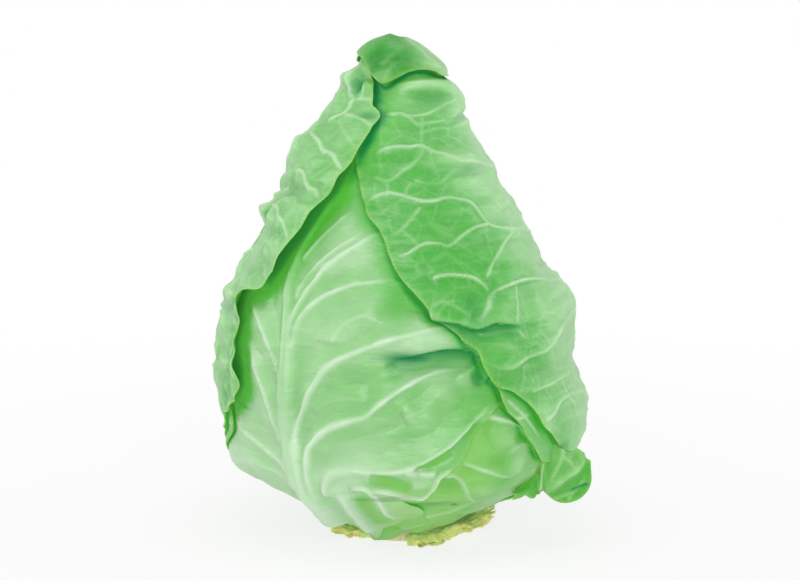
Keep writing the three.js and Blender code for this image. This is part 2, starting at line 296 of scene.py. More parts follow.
class Relief:
    """What stands up from a leaf's bare layer: the blade's own waves, and veins on its face."""

    def __init__(self, angle, height):
        self.angle, self.height = angle.ravel(), height.ravel()
        self.bare = on_head(self.angle, self.height)
        n = len(self.bare)
        self.wave = np.zeros(n)      # both faces
        self.vein = np.zeros(n)      # outer face only
        self.tent = np.zeros(n)      # the blade drawn up to its veins
        self.pale = np.zeros(n)      # a rib's pale green
        self.dark = np.zeros(n)      # painted shade: deep green in a hollow
        self.shade = np.zeros(n)     # painted shade: deeper green beside another leaf, in troughs and dents
        self.bloom_and_highlight = np.zeros(n)     # pale wax and painted highlight
        self.tender_and_trough_shade = np.zeros(n)    # yellower green near the stem, and painted shade in troughs
        self.near_vein = np.full(n, 99.0)
        self.slide = np.zeros((n, 3))

    def rib(self, places, width, rise, paleness=1.0, feather=0.0, fade=(0.0, 0.12), taper=1.0,
            crisp=2.0):
        """A raised vein, from its thick end to its thin one."""
        line = course(places)
        d, t, _ = beside(line, self.bare, 4 * max(width) + 4)
        w = width[1] + (width[0] - width[1]) * (1 - t) ** taper
        h = rise[0] + (rise[1] - rise[0]) * t
        ends = smooth(t, -BARELY, fade[0] + BARELY) * (1 - smooth(t, 1 - fade[1], 1.0))
        if feather:
            w = w * (1 + feather * noise(self.bare, 4.5, 5))
            paleness = paleness * (0.72 + 0.5 * feather / 0.3 * noise(self.bare, 8.0, 6))
        wide = np.maximum(w, FINEST)
        thin = np.sqrt(w / wide)
        shape = ends * thin * np.exp(-((d / wide) ** crisp))
        self.vein = np.maximum(self.vein, h * shape)
        self.pale = np.maximum(self.pale, paleness * shape)
        self.tent = np.maximum(self.tent, h * ends * np.exp(-(d / (3.2 + 1.2 * w))))
        self.near_vein = np.minimum(self.near_vein, d + 6 * (1 - ends))

    def veins(self, lift, rows, thin=1.0, **looks):
        """Ribs on drawn lines: each with its widths, its rises, and its paleness and feather."""
        for points, width, rise, *tints in rows:
            self.rib(seen(points, lift), [thin * w for w in width], rise, *tints, **looks)

    def fold(self, places, rise, drop, reach, blend=0.7, slide=0.0, dark=0.6, fade=(0.15, 0.2)):
        """The side left of a line stands over the other, with painted shade in the hollow under its
        edge.
        """
        line = course(places)
        d, t, side = beside(line, self.bare, 3 * max(reach) + 3)
        ends = smooth(t, 0, fade[0] + BARELY) * (1 - smooth(t, 1 - fade[1], 1 + BARELY))
        beyond = np.sqrt(np.maximum(d**2 - side**2, 0))
        ends = ends * np.exp(-((beyond / 2.0) ** 2))
        step = smooth(side, -blend, blend)
        self.wave += ends * (rise * step * np.exp(-((d / reach[0]) ** 2))
                             - drop * (1 - step) * np.exp(-((d / reach[1]) ** 2)))
        shift = ends * slide * step * np.exp(-np.maximum(side, 0) / 2.5)
        part = np.flatnonzero(shift > 1e-3)
        _, k = nearest(self.bare[part], line["spots"])
        self.slide[part] -= shift[part, None] * line["left"][k]
        # painted shade: dark, and deeper green, under the overhanging edge
        under = ends**0.3 * (1 - smooth(side, -blend, blend * 0.5))
        self.dark = np.maximum(self.dark, dark * under * np.exp(-d / (0.35 * reach[1])))
        self.shade = np.maximum(self.shade, (dark > 0) * under * np.exp(-d / reach[1]))

    def spot(self, place, radius):
        """A soft spot round a place: its radius across the head and up it."""
        centre = on_head(place[0], place[1])
        across = on_head(place[0] + 1, place[1]) - centre
        across /= np.linalg.norm(across)
        upward = np.cross(outward(place[0], place[1]), across)
        p = self.bare - centre
        q = ((p @ across) / radius[0]) ** 2 + ((p @ upward) / radius[1]) ** 2
        return np.exp(-q)

    def swell(self, place, radius, rise, dark=0.0, shade=0.0):
        """A blister or a dent, in a soft spot, with painted shade in it as dark and shade ask."""
        shape = self.spot(place, radius)
        self.wave += rise * shape
        self.dark = np.maximum(self.dark, dark * shape)
        self.shade = np.maximum(self.shade, shade * shape)

    def swells(self, lift, rows):
        """Blisters and dents at drawn places: each with its radius and what swell asks."""
        for place, *sizes in rows:
            self.swell(seen([place], lift)[0], *sizes)

    def highlight_and_wax_patches(self, lift, rows):
        """Patches of pale wax and painted highlight at drawn places: each with its radius and how
        much.
        """
        for place, radius, wax in rows:
            self.bloom_and_highlight += wax * self.spot(seen([place], lift)[0], radius)


# ------------------------------------------------------------------------ leaf sheets

def stations(rails, rows):
    """Rails with matching stations, sampled at rows spaced by how far the rails run."""
    rails = [np.array(rail, float) for rail in rails]
    steps = 0
    for rail in rails:
        xyz = on_head(rail[:, 0], rail[:, 1])
        steps = steps + np.linalg.norm(np.diff(xyz, axis=0), axis=1)
    at = np.concatenate([[0], np.cumsum(np.maximum(steps, 1e-6))])
    want = np.linspace(0, at[-1], rows)
    i = np.clip(np.searchsorted(at, want, side="right") - 1, 0, len(at) - 2)
    h = (at[i + 1] - at[i])[:, None]
    w = ((want - at[i]) / (at[i + 1] - at[i]))[:, None]
    sampled = []
    for rail in rails:
        secant = np.diff(rail, axis=0) / np.diff(at)[:, None]
        slope = np.empty_like(rail)
        slope[0], slope[-1] = secant[0], secant[-1]
        a, b = np.diff(at)[:-1, None], np.diff(at)[1:, None]
        slope[1:-1] = (secant[:-1] * b + secant[1:] * a) / (a + b)
        sampled.append((2 * w**3 - 3 * w**2 + 1) * rail[i] + (w**3 - 2 * w**2 + w) * h * slope[i]
                       + (3 * w**2 - 2 * w**3) * rail[i + 1] + (w**3 - w**2) * h * slope[i + 1])
    return sampled


def web(rails, rows, columns):
    """A grid of places between rails: angle and height, rows by columns."""
    sampled = stations(rails, rows)
    strips = []
    for k, count in enumerate(columns):
        s = np.linspace(0, 1, count + 1)[None, :, None]
        strip = sampled[k][:, None] * (1 - s) + sampled[k + 1][:, None] * s
        strips.append(strip if k == 0 else strip[:, 1:])
    grid = np.concatenate(strips, 1)
    return grid[..., 0], grid[..., 1]


def border_of(shape):
    """The grid's border, once round, as flat indices."""
    r, c = shape
    k = np.arange(r * c).reshape(r, c)
    return np.concatenate([k[0, :-1], k[:-1, -1], k[-1, :0:-1], k[:0:-1, 0]])


def from_border(bare, shape):
    """Distance from each place to the leaf's margin."""
    return nearest(bare, bare[border_of(shape)][::2])[0]


def blurred(field, reach):
    """A grid averaged over a reach of cells, three times over."""
    for axis in (0, 1):
        for _ in range(3):
            pad = [(reach, reach) if k == axis else (0, 0) for k in (0, 1)]
            total = np.cumsum(np.pad(field, pad, mode="edge"), axis=axis)
            total = np.insert(total, 0, 0, axis=axis)
            n = field.shape[axis]
            field = (np.take(total, np.arange(2 * reach + 1, n + 2 * reach + 1), axis)
                     - np.take(total, np.arange(n), axis)) / (2 * reach + 1)
    return field


def crests(top, shape):
    """Where a blade stands above its surroundings: 0 in hollows, 1 on crests."""
    grid = top.reshape(shape)
    near, far = grid - blurred(grid, 3), grid - blurred(grid, 8)
    return (0.5 + 0.5 * np.tanh(0.9 * near + 0.55 * far)).ravel()


def closed_sheet(name, outer, inner, shape, marks):
    """A thin closed body: a fine outer face, an inner face at half its fineness, and a margin
    that joins them. Rows and columns are both odd in number."""
    r, c = shape
    fine = np.arange(r * c).reshape(r, c)
    keep = fine[::2, ::2]
    coarse = np.arange(keep.size).reshape(keep.shape) + r * c
    points = np.concatenate([outer, inner[keep.ravel()]])
    over = np.stack([fine[:-1, :-1], fine[:-1, 1:], fine[1:, 1:], fine[1:, :-1]], -1)
    under = np.stack([coarse[:-1, :-1], coarse[1:, :-1], coarse[1:, 1:], coarse[:-1, 1:]], -1)
    border, ring = border_of(shape), border_of(keep.shape) + r * c
    first, middle, last = border[0::2], border[1::2], np.roll(border, -2)[0::2]
    following = np.roll(ring, -1)
    walls = np.concatenate([np.stack([middle, first, ring], -1),
                            np.stack([middle, ring, following], -1),
                            np.stack([last, middle, following], -1)])
    quads = np.concatenate([over.reshape(-1, 4), under.reshape(-1, 4)])
    mid = outer.reshape(r, c, 3)
    face = np.cross(mid[1:-1, 2:] - mid[1:-1, :-2], mid[2:, 1:-1] - mid[:-2, 1:-1])
    outside = (outer - inner).reshape(r, c, 3)[1:-1, 1:-1]
    if (face * outside).sum() < 0:
        quads, walls = quads[:, ::-1], walls[:, ::-1]
    marks = {key: np.concatenate([v, v[keep.ravel()]]) for key, v in marks.items()}
    return solid(name, points, quads, walls, marks)


def solid(name, points, quads, tris, marks=None):
    """A mesh object from arrays, in millimetres, smooth shaded."""
    mesh = bpy.data.meshes.new(name)
    mesh.vertices.add(len(points))
    mesh.vertices.foreach_set("co", (np.asarray(points) * MM).astype(np.float32).ravel())
    loops = np.concatenate([np.asarray(quads).ravel(), np.asarray(tris).ravel()]).astype(np.int32)
    sizes = np.concatenate([np.full(len(quads), 4), np.full(len(tris), 3)]).astype(np.int32)
    mesh.loops.add(len(loops))
    mesh.loops.foreach_set("vertex_index", loops)
    mesh.polygons.add(len(sizes))
    mesh.polygons.foreach_set("loop_start", (np.cumsum(sizes) - sizes).astype(np.int32))
    mesh.update(calc_edges=True)
    mesh.polygons.foreach_set("use_smooth", np.ones(len(sizes), bool))
    for key, values in (marks or {}).items():
        layer = mesh.attributes.new(key, "FLOAT", "POINT")
        layer.data.foreach_set("value", np.asarray(values, np.float32))
    mesh.validate()
    piece = bpy.data.objects.new(name, mesh)
    bpy.context.scene.collection.objects.link(piece)
    return piece


class Cover:
    """How high the leaves laid so far stand, over the whole head: a cell for each half degree
    round it and each half millimetre up it."""

    AROUND, UP = 720, 420

    def __init__(self):
        self.tops = np.full((self.AROUND, self.UP), -1.0)

    def cell(self, angle, height):
        i = np.round((np.asarray(angle) % 360) * 2).astype(int) % self.AROUND
        j = np.clip(np.round(np.asarray(height) * 2).astype(int), 0, self.UP - 1)
        return i, j

    def lay(self, angle, height, top):
        np.maximum.at(self.tops, self.cell(angle, height), top)

    def under(self, angle, height, spread=3, tops=None):
        """The highest top near each place, with the gaps between samples closed."""
        tops = self.tops if tops is None else tops
        for _ in range(spread):
            tops = np.maximum(tops, np.maximum(np.roll(tops, 1, 0), np.roll(tops, -1, 0)))
            tops = np.maximum(tops, np.maximum(np.roll(tops, 1, 1), np.roll(tops, -1, 1)))
        for _ in range(3):
            tops = (tops + np.roll(tops, 1, 0) + np.roll(tops, -1, 0)
                    + np.roll(tops, 1, 1) + np.roll(tops, -1, 1)) / 5
        return tops[self.cell(angle, height)]


cover = Cover()
laid = []                   # each leaf's name, piece, relief, rim and the cover once it lay

MARGIN_THICK, BLADE_THICK = 0.45, 1.25
TENT = 0.8                  # how much of a vein's rise the blade follows
CURL = 0.6                  # how far a margin lifts
MARGIN_BAND = 0.7           # how far in its thin pale line runs
TEETH = 0.35                # how uneven a margin is along its line


def leaf(name, rails, rows, columns, layer, shape_it, stand=None, ruffle=(1.0, 9.0, 6.0),
         seed=1, clear=0.25):
    """One wrapped leaf. The layer gives its lift; shape_it adds its own relief; stand is how
    its margin stands clear; ruffle is the margin's wave: height, length and how far in; clear
    is the gap to the leaves beneath."""
    angle, height = web(rails, rows, columns)
    grid = angle.shape
    relief = Relief(angle, height)
    shape_it(relief)
    bare, a, h = relief.bare, relief.angle, relief.height
    edge = from_border(bare, grid)
    lift = layer(a, h) + relief.wave + TENT * relief.tent
    size, length, depth = ruffle
    lift += size * noise(bare, length, seed) * np.exp(-edge / depth)
    lift += CURL * np.exp(-edge / 2.2)
    if stand:
        lift += stand(a, h, edge)
    lift = np.maximum(lift, cover.under(a, h) + clear)
    thick = MARGIN_THICK + (BLADE_THICK - MARGIN_THICK) * (1 - np.exp(-edge / 5))
    inside = 1 - np.exp(-edge / 1.6)
    top = lift + thick + relief.vein * inside
    cover.lay(a, h, top)
    jag = TEETH * noise(bare, 1.7, seed + 3) * np.exp(-edge / 0.9)
    away = bare - bare.mean(0)
    away /= np.linalg.norm(away, axis=1)[:, None]
    move = relief.slide + jag[:, None] * away
    marks = {
        "vein": np.clip(relief.pale, 0, 1),
        "hollow": np.clip(relief.dark, 0, 1),
        "margin": np.exp(-edge / MARGIN_BAND),
        "crest": crests(top, grid),
        "bloom_and_highlight": np.clip(relief.bloom_and_highlight, 0, 1),
        "tender_and_trough_shade": np.clip(relief.tender_and_trough_shade, 0, 1),
    }
    piece = closed_sheet(name, on_head(a, h, top) + move, on_head(a, h, lift) + move, grid, marks)
    laid.append((name, piece, relief, bare[border_of(grid)], cover.tops.copy()))
    return piece


def side_veins(relief, width, rise, paleness, end, rows):
    """Veins from midrib places: how many degrees each runs, and how far it climbs. They fade
    over the end of their length."""
    for (a, h), reach, climb in rows:
        places = [(a + across * reach, h + up * climb)
                  for across, up in ((0, 0), (0.3, 0.45), (0.65, 0.77), (1, 1))]
        relief.rib(places, width, rise, paleness, feather=0.3, fade=(0.02, end))


def net(relief, size, rise, paleness, seed, where=1.0, swell=0.0):
    """The net of small veins between the big ones, over blisters of that size."""
    drift = np.stack([noise(relief.bare, size * 1.3, seed + k) for k in (5, 6, 7)], -1)
    first, second = cells(relief.bare + drift * size * 0.35, size, seed)
    gap = (second - first) * size
    vein = np.exp(-((gap / FINEST) ** 2)) * where * (0.8 + 0.4 * noise(relief.bare, size, seed + 8))
    relief.vein = np.maximum(relief.vein, rise * vein)
    relief.pale = np.maximum(relief.pale, paleness * vein)
    relief.wave += swell * smooth(second - first, 0.0, 0.6)


def puckers(relief, rise, seed):
    """Soft creases that run out from the midrib, closer together up the head than across it."""
    p = relief.bare * [0.32, 0.32, 1.0]
    wide = noise(p, 6.5, seed) + 0.5 * noise(p, 3.0, seed + 1)
    return rise * (0.75 * wide - 0.5 * np.abs(noise(p, 5.0, seed + 2)))


# ------------------------------------------------------------------------ the leaves

# The lobed leaf beneath the front leaf. Its rails run along its lower edge and its hidden top.
LOBED_LIFT = 2.5
lower_edge = np.concatenate([
    [(-30, 9), (-22, 8)],
    seen(path(-12, 1.5, -7.7, 1.1, -2.6, 1.9, 2.1, 3.7, 6.5, 4.5, 10.8, 5.2, 16.3, 6.2, 21.5, 8.2,
        25.8, 10.3, 30.1, 12.5, 36.1, 13.8, 43, 16.3, 48.2, 18.7, 52, 21.9, 56.3, 26.7,
        59.3, 31.8, 62.8, 37, 68.8, 41.7), LOBED_LIFT),
    [(78, 44)]])
lower_top = [
    (-36, 44), (-34, 46), (-32, 48), (-28, 50), (-24, 52), (-18, 54), (-12, 56), (-6, 58), (0, 60),
    (6, 62), (12, 64), (20, 66), (28, 67), (36, 68), (44, 68), (50, 67.5), (54, 67), (60, 66),
    (68, 64), (76, 62), (82, 60)]


def lower_front_relief(r):
    r.veins(LOBED_LIFT, [
        (path(27.1, 35.3, 32.2, 33.1, 38.7, 31, 45.6, 28.8, 51.6, 29.2),
            (0.8, 0.4), (0.7, 0.4), 0.7),
        (path(33.5, 52, 36.1, 55, 43, 54.2, 49.9, 52, 55, 47.7, 57.6, 42.6, 60.2, 37.4),
            (1.2, 0.7), (1.2, 0.5), 0.7),
        (path(47.3, 40, 52.5, 43, 56.8, 43.4), (0.7, 0.4), (0.4, 0.3), 0.5),
        (path(10.3, 11.2, 17.2, 12.9, 24.1, 14.6, 32.2, 18.1, 40.9, 20.6),
            (1.2, 0.7), (0.9, 0.4), 0.6),
        (path(18.5, 28.4, 20.6, 29.2, 23.2, 29.2, 26.2, 27.1, 28.4, 23.6, 30.1, 19.8, 32.7, 16.8),
            (0.9, 0.6), (1.2, 0.6), 0.8),
        (path(0, 5.2, 8.6, 7.7, 17.2, 9.5), (0.9, 0.5), (0.6, 0.3), 0.6),
    ], fade=(0.06, 0.3), feather=0.2)
    # dents and bulges; where dark or shade is given, it is painted shade
    r.swells(LOBED_LIFT, [
        ((21.9, 24.5), (4.8, 4.2), -3.2, 0.1, 0.9), ((12.9, 15.5), (9.0, 2.6), -1.8, 0.25, 1.0),
        ((4.3, 14.2), (6.0, 2.4), -1.4, 0.3, 1.0), ((-3.4, 5.6), (5.0, 2.4), -1.0, 0.0, 0.9),
        ((43, 45.1), (8.0, 6.0), 1.8), ((36.1, 23.6), (6.0, 4.0), 1.6),
        ((50.7, 34), (6.0, 5.0), 1.8),
        ((43, 35.7), (5.0, 3.0), -1.2, 0.0, 0.4), ((38.7, 49.4), (3.0, 5.0), -1.2, 0.0, 0.6),
        ((23.6, 15.9), (1.2, 0.8), -0.9, 0.8), ((45.1, 26.2), (7.0, 2.4), -0.8, 0.0, 0.3),
        ((30.1, 32.2), (4.0, 2.4), -1.2, 0.0, 0.4), ((53.3, 46.9), (4.0, 3.0), -1.2, 0.0, 0.5),
        ((30.1, 14.2), (8.0, 1.6), 0.9)])
    r.wave += 0.7 * lumps(r.bare, 13, 51) + 0.2 * noise(r.bare, 5, 53)
    r.tender_and_trough_shade += 0.9 - 0.7 * smooth(r.angle, 20, 40)
    # pale wax and painted highlight, more to the right
    r.bloom_and_highlight += 0.45 * smooth(r.angle, 34, 48) + 0.1


lower_front_leaf = leaf("lower_front_leaf", [lower_edge, lower_top], 181, [96],
                        lambda a, h: 0.2 + 0 * a, lower_front_relief,
                        ruffle=(0.7, 7.0, 4.0), seed=12, clear=0.1)


# The front leaf. Its rails are the left margin, the midrib and the right margin, whose lowest
# stretch falls in a pleated lobe to the table and then rises in a frilled edge.
FRONT_LIFT = 5.0            # where the blade's drawn lines lie
FOOT_LIFT = 4.0             # where the foot's do
PLEAT_LIFT = 4.5            # where the foot's pleats do
front_mid = seen(path(-24.9, 7.7, -25.8, 8.4, -26.7, 9, -27.5, 9.7, -28.4, 10.5, -29.2, 11.4,
    -29.9, 12, -30.5, 12.7, -31.4, 13.5, -32.2, 14.6, -33.1, 15.7, -34.2, 16.8, -35.3, 17.8,
    -36.3, 18.9, -37.4, 20, -38.7, 21.1, -40.4, 23.2, -42.1, 25.8, -43.9, 28.8, -45.6, 33.1,
    -47.7, 40, -49.9, 49.4, -50.3, 62.4, -50.3, 77.4, -49.9, 92.5, -49.4, 105.3, -47.3, 118.2,
    -44.3, 126.8, -40.9, 133.3, -34.4, 143.6, -26.7, 153.5, -20.6, 163.4, -16.3, 174.2), FRONT_LIFT)
front_right = np.concatenate([
    seen(path(-21.5, 7.1, -17.2, 4.7, -12.9, 2.6, -9.9, 1.5, -6.9, 5.6, -1.3, 7.7, 2.6, 9.2,
        6.9, 10.1, 10.3, 11.6, 5.2, 14.8, 0.9, 17.4, -1.7, 19.6, 1.7, 20.2, 5.2, 18.7, 9, 17.4,
        12.9, 19.1, 15.5, 23.6, 17.2, 27.7, 20.2, 30.1, 24.5, 33.1, 27.5, 36.5), FOOT_LIFT),
    seen(path(32.7, 46, 44.3, 59.8), FRONT_LIFT),
    [(57, 78), (62, 94), (61, 104), (58, 114), (55, 121), (50, 133), (44, 146), (38, 158),
     (30, 170), (24, 179)]])
front_left = np.concatenate([
    even_spline([(-58, 9), (-62, 10), (-66, 11), (-70, 12), (-74, 13), (-78, 14.5), (-82, 16),
                 (-86, 18), (-90, 21), (-94, 25), (-98, 30), (-102, 35), (-105, 41)], 21),
    [(-108, 49), (-110, 62), (-109, 80), (-107, 95), (-105, 107), (-103, 120), (-100, 128),
     (-97, 138), (-92, 147), (-85, 158), (-77, 168), (-70, 178)]])


def front_veins(r):
    """The broad midrib and the side veins that leave it."""
    mid = seen(path(-30.1, 10.8, -35.3, 17.2, -41.7, 25.4, -46, 35.7, -48.6, 46.9, -49.9, 62.4,
        -49.9, 77.4, -49.4, 92.5, -49, 105.3, -46.9, 118.2, -40.9, 133.3, -34.4, 143.6,
        -25.8, 154.4, -18.9, 165.6), FRONT_LIFT)
    r.rib(mid, (7.0, 0.8), (2.8, 0.5), 0.15, fade=(0.0, 0.45), taper=1.6, crisp=3.0)
    r.rib(mid[:5], (6.4, 2.6), (0.1, 0.1), 0.9, fade=(0.0, 0.7), crisp=3.0)
    # less pale wax and painted highlight along the midrib, high up
    d, _, _ = beside(course(mid), r.bare, 20)
    r.bloom_and_highlight -= 0.45 * np.exp(-((d / 6) ** 2)) * smooth(r.height, 50, 80)
    r.veins(FRONT_LIFT, [
        (path(-37, 19.4, -41.7, 28.8, -44.3, 38.7, -45.1, 45.1, -44.7, 51.6, -43, 55.9,
            -38.7, 66.7, -30.1, 77.4, -21.5, 81.7, -6.5, 87.3, 4.3, 90.3, 17.2, 93.7, 30.1, 95.9),
            (2.0, 0.8), (1.5, 0.9), 1.0, 0.35),
        (path(-32.7, 18.1, -37.8, 25.8, -40, 33.1, -39.6, 40.9, -37, 45.1, -31.8, 49.4,
            -23.6, 52.5, -15, 55, -8.6, 60.2, 4.3, 68.8, 17.2, 74.4, 34, 76.1),
            (2.2, 0.8), (1.7, 0.8), 1.0, 0.35),
        (path(-30.1, 19.4, -32.2, 24.5, -30.1, 29.7, -21.5, 32.2, -12.9, 31, 0, 31.4, 8.6, 34.4,
            17.2, 39.1, 24.1, 44.3, 30.1, 50.3, 36.1, 56.3, 43, 62.4),
            (2.2, 0.7), (1.6, 1.3), 1.0, 0.2),
        (path(-47.3, 83, -46.4, 90.3, -43, 98.9, -37.8, 104.5, -31, 108.8, -20.6, 112.2,
            -8.6, 114, 0, 114.4), (1.6, 0.7), (1.0, 0.6), 1.0, 0.35),
        (path(-47.7, 86, -47.3, 95.9, -43, 106.6, -36.5, 115.2, -30.1, 121.7, -21.5, 127.7,
            -10.8, 134.2, -3.4, 136.3), (1.6, 0.7), (1.0, 0.6), 0.95, 0.35),
        (path(-46, 105.3, -42.1, 114, -35.3, 121.7, -27.9, 127.7, -20.6, 132, -13.8, 137.2),
            (1.2, 0.6), (0.7, 0.4), 0.7, 0.35),
        (path(-43, 121.7, -36.5, 131.2, -27.9, 138.9, -20.6, 144.9),
            (1.1, 0.5), (0.6, 0.3), 0.6, 0.3),
        (path(-50.7, 43, -54.2, 51.6, -56.8, 60.2, -60.2, 68.8, -63.6, 77, -66.2, 86),
            (1.3, 0.6), (0.9, 0.4), 0.95, 0.3),
        (path(-51.2, 68.8, -55, 80.4, -59.3, 90.3, -62.8, 98.9, -65.4, 105.3),
            (1.2, 0.6), (0.8, 0.4), 0.85, 0.3),
        (path(-46.4, 32.2, -53.3, 37.4, -59.3, 41.7, -66.2, 47.7, -72.2, 54.6),
            (1.3, 0.6), (0.9, 0.4), 0.9, 0.3),
        (path(-43, 23.6, -49.4, 28.8, -56.8, 33.1, -63.6, 36.5, -69.7, 38.7),
            (1.2, 0.6), (0.7, 0.4), 0.7, 0.3),
        (path(-30.1, 86, -29.2, 89.9, -25.8, 94.2, -21.5, 97.2, -16.3, 98.9, -12, 97.6,
            -8.6, 95.5), (0.7, 0.4), (0.4, 0.3), 0.35, 0.3),
        (path(1.7, 53.8, 10.8, 58, 17.2, 64.1, 22.4, 71), (0.7, 0.4), (0.2, 0.1), 0.15, 0.3),
        (path(-38.7, 57.2, -30.1, 61.5, -20.6, 62.4, -12, 60.2), (0.7, 0.4), (0.2, 0.1), 0.15, 0.3),
    ], thin=0.78, fade=(0.06, 0.25))


def front_pleats(r):
    """The lobe at the midrib's foot: its outer ridge, the trough beside it and the pleats. A trough
    is deeper, with painted shade that makes it greener."""
    for points, width in [
        (path(-27.5, 22.8, -24.1, 26.2, -20.6, 26.7), 5.0),
        (path(-33.5, 27.9, -25.8, 31.4, -14.6, 32.2), 5.0)]:
        d, _, _ = beside(course(seen(points, PLEAT_LIFT)), r.bare, 4 * width)
        r.pale = np.maximum(r.pale, 0.55 * np.exp(-((d / width) ** 2)))
    for points, width, rise, paleness in [
        (path(-27.5, 25.4, -24.1, 18.5, -20.6, 12.5, -15.9, 6.5, -10.8, 2.1), 2.8, 2.4, 0.9),
        (path(-23.6, 23.2, -18.9, 24.1, -14.2, 22.8, -11.2, 19.4, -8.2, 15, -4.7, 11.2, 0, 8.6),
            1.3, 2.2, 1.0),
        (path(-18.9, 20.2, -15.5, 15.9, -11.2, 11.2, -6.9, 6.5), 3.4, -2.8, 0.0),
        (path(0.9, 31.4, 8.6, 30.5, 16.3, 29.7), 1.5, 1.2, 0.7),
        (path(-14.2, 22.4, -6.5, 21.5, -0.9, 20, 4.3, 18.5, 9, 18.1, 12.9, 19.8, 15, 22.8,
            16.3, 25.8, 17.6, 27.9, 21.5, 30.1, 24.9, 32.2), 1.1, 1.9, 1.0),
        (path(-13.8, 28.4, -8.6, 27.1, -3.4, 25.4, 0.9, 24.1, 5.2, 22.8), 2.4, -2.8, 0.0),
        (path(6, 31.8, 12, 33.5, 18.1, 37, 22.4, 40.4), 2.2, -2.2, 0.0)]:
        d, t, _ = beside(course(seen(points, PLEAT_LIFT)), r.bare, 4 * width)
        shape = smooth(t, 0, 0.12) * (1 - smooth(t, 0.88, 1)) * np.exp(-((d / width) ** 2))
        r.wave += rise * shape
        r.pale = np.maximum(r.pale, paleness * shape)
        # painted shade: a trough is greener, yellower and less waxy
        if rise < 0:
            r.shade = np.maximum(r.shade, shape)
            r.tender_and_trough_shade += 0.6 * shape
            r.bloom_and_highlight *= 1 - 0.8 * shape
    # pale wax and painted highlight in patches on the foot
    r.highlight_and_wax_patches(FOOT_LIFT, [((-3.9, 17.2), (3.5, 5.0), 1.0), ((3.4, 12.9), (6.0, 2.2), 1.0),
                        ((-21.5, 18.1), (3.0, 6.0), 0.5), ((10.3, 26.2), (6.0, 2.4), 0.6)])
    edge_fold = seen(path(43, 60.6, 36.1, 55.5, 30.1, 49.4, 24.1, 43.4, 17.2, 38.3, 10.3, 34.4),
        FRONT_LIFT)
    r.fold(edge_fold, -1.6, -0.8, (4.0, 6.0), blend=1.2, dark=0.0, fade=(0.2, 0.3))
    r.swells(FOOT_LIFT, [((8.6, 24.5), (6.0, 3.0), 1.2)])


def front_relief(r):
    front_veins(r)
    lower = 1 - smooth(r.height, 95, 150)
    r.tender_and_trough_shade += 1.1 * (1 - smooth(r.height, 18, 46)) * smooth(r.angle, -22, 0)
    r.wave -= 2.2 * (0.4 + 0.6 * lower) * (1 - np.exp(-((r.near_vein / 8) ** 2)))
    r.wave += 1.5 * lumps(r.bare, 20, 41) + 0.25 * noise(r.bare, 7, 43)
    r.wave += 0.5 * puckers(r, 0.8, 45) * (0.4 + 0.6 * lower)
    # pale wax and painted highlight: paler to the left and low, less on the right, and in patches
    r.bloom_and_highlight += 0.28 + 0.7 * (1 - smooth(r.angle, -75, 20)) + 0.5 * hill(r.height, 12, 24)
    r.bloom_and_highlight -= 0.45 * hill(r.angle, 32, 14) * hill(r.height, 52, 24)
    r.highlight_and_wax_patches(FRONT_LIFT, [
        ((21.5, 91.6), (16.0, 3.4), 0.8), ((-2.1, 83.8), (14.0, 4.0), 0.5),
        ((-12, 105.3), (12.0, 4.0), 0.4),
        ((6.5, 95.9), (14.0, 3.0), 1.0), ((10.8, 72.7), (12.0, 3.0), 1.0),
        ((-15, 132.9), (10.0, 8.0), 0.5),
        ((30.1, 78.7), (9.0, 2.0), 0.7), ((-30.1, 92.5), (14.0, 8.0), 0.4),
        ((23.6, 69.2), (12.0, 3.0), 0.4),
        ((-30.1, 131.2), (14.0, 9.0), 0.4), ((-21.5, 121.7), (14.0, 3.0), 0.4),
        ((-4.3, 49.4), (20.0, 5.0), 0.3),
        ((12.9, 62.4), (14.0, 4.0), 0.1), ((-17.2, 40.9), (16.0, 4.0), 0.5)])
    # the fold that overhangs a hollow to the right of the middle, with painted shade in it
    overhang = seen(path(-7.7, 77.8, -2.1, 79.5, 5.2, 81.7, 12.9, 83.8, 21.5, 85.1, 29.2, 85.1,
        34, 83.4, 37, 79.5), FRONT_LIFT)
    r.fold(overhang, 2.8, 3.8, (9.0, 9.0), blend=1.0, slide=1.8, dark=1.0, fade=(0.35, 0.05))
    # dents and bulges; where dark or shade is given, it is painted shade
    r.swells(FRONT_LIFT, [
        ((36.1, 71.8), (3.0, 3.4), -2.0, 0.5, 0.8), ((5.2, 80.4), (9.0, 2.0), -2.4, 1.0),
        ((-59.3, 109.6), (7.0, 12.0), 0.0, 0.0, 0.6), ((-43, 133.3), (8.0, 8.0), 0.0, 0.0, 0.5),
        ((-1.3, 105.3), (8.0, 12.0), 0.0, 0.0, 1.0), ((-2.1, 71.8), (6.0, 2.6), -1.0, 0.0, 0.6),
        ((33.5, 48.6), (6.0, 5.0), -0.8, 0.0, 0.5), ((2.1, 47.3), (10.0, 3.0), -0.8, 0.0, 0.4),
        ((17.2, 89), (16, 4.5), 1.2)])
    front_pleats(r)
    r.wave += 0.5 * (1 - smooth(r.height, 34, 44)) * noise(r.bare, 6.0, 47)


def front_layer(a, h):
    return (2.5 + 6.0 * hill(a, -84, 26) * hill(h, 38, 11)
            + 1.8 * hill(a, -86, 18) * smooth(h, 50, 62) * (1 - smooth(h, 125, 160)))


front_leaf = leaf("front_leaf", [front_left, front_mid, front_right], 301, [76, 140], front_layer,
                  front_relief, ruffle=(0.7, 7.0, 4.0), seed=11, clear=0.2)


# The leaf whose edge shows low on the left, under the left leaf.
def left_under_relief(r):
    r.wave += 0.5 * lumps(r.bare, 14, 61)
    net(r, 11, 0.35, 0.45, 70)


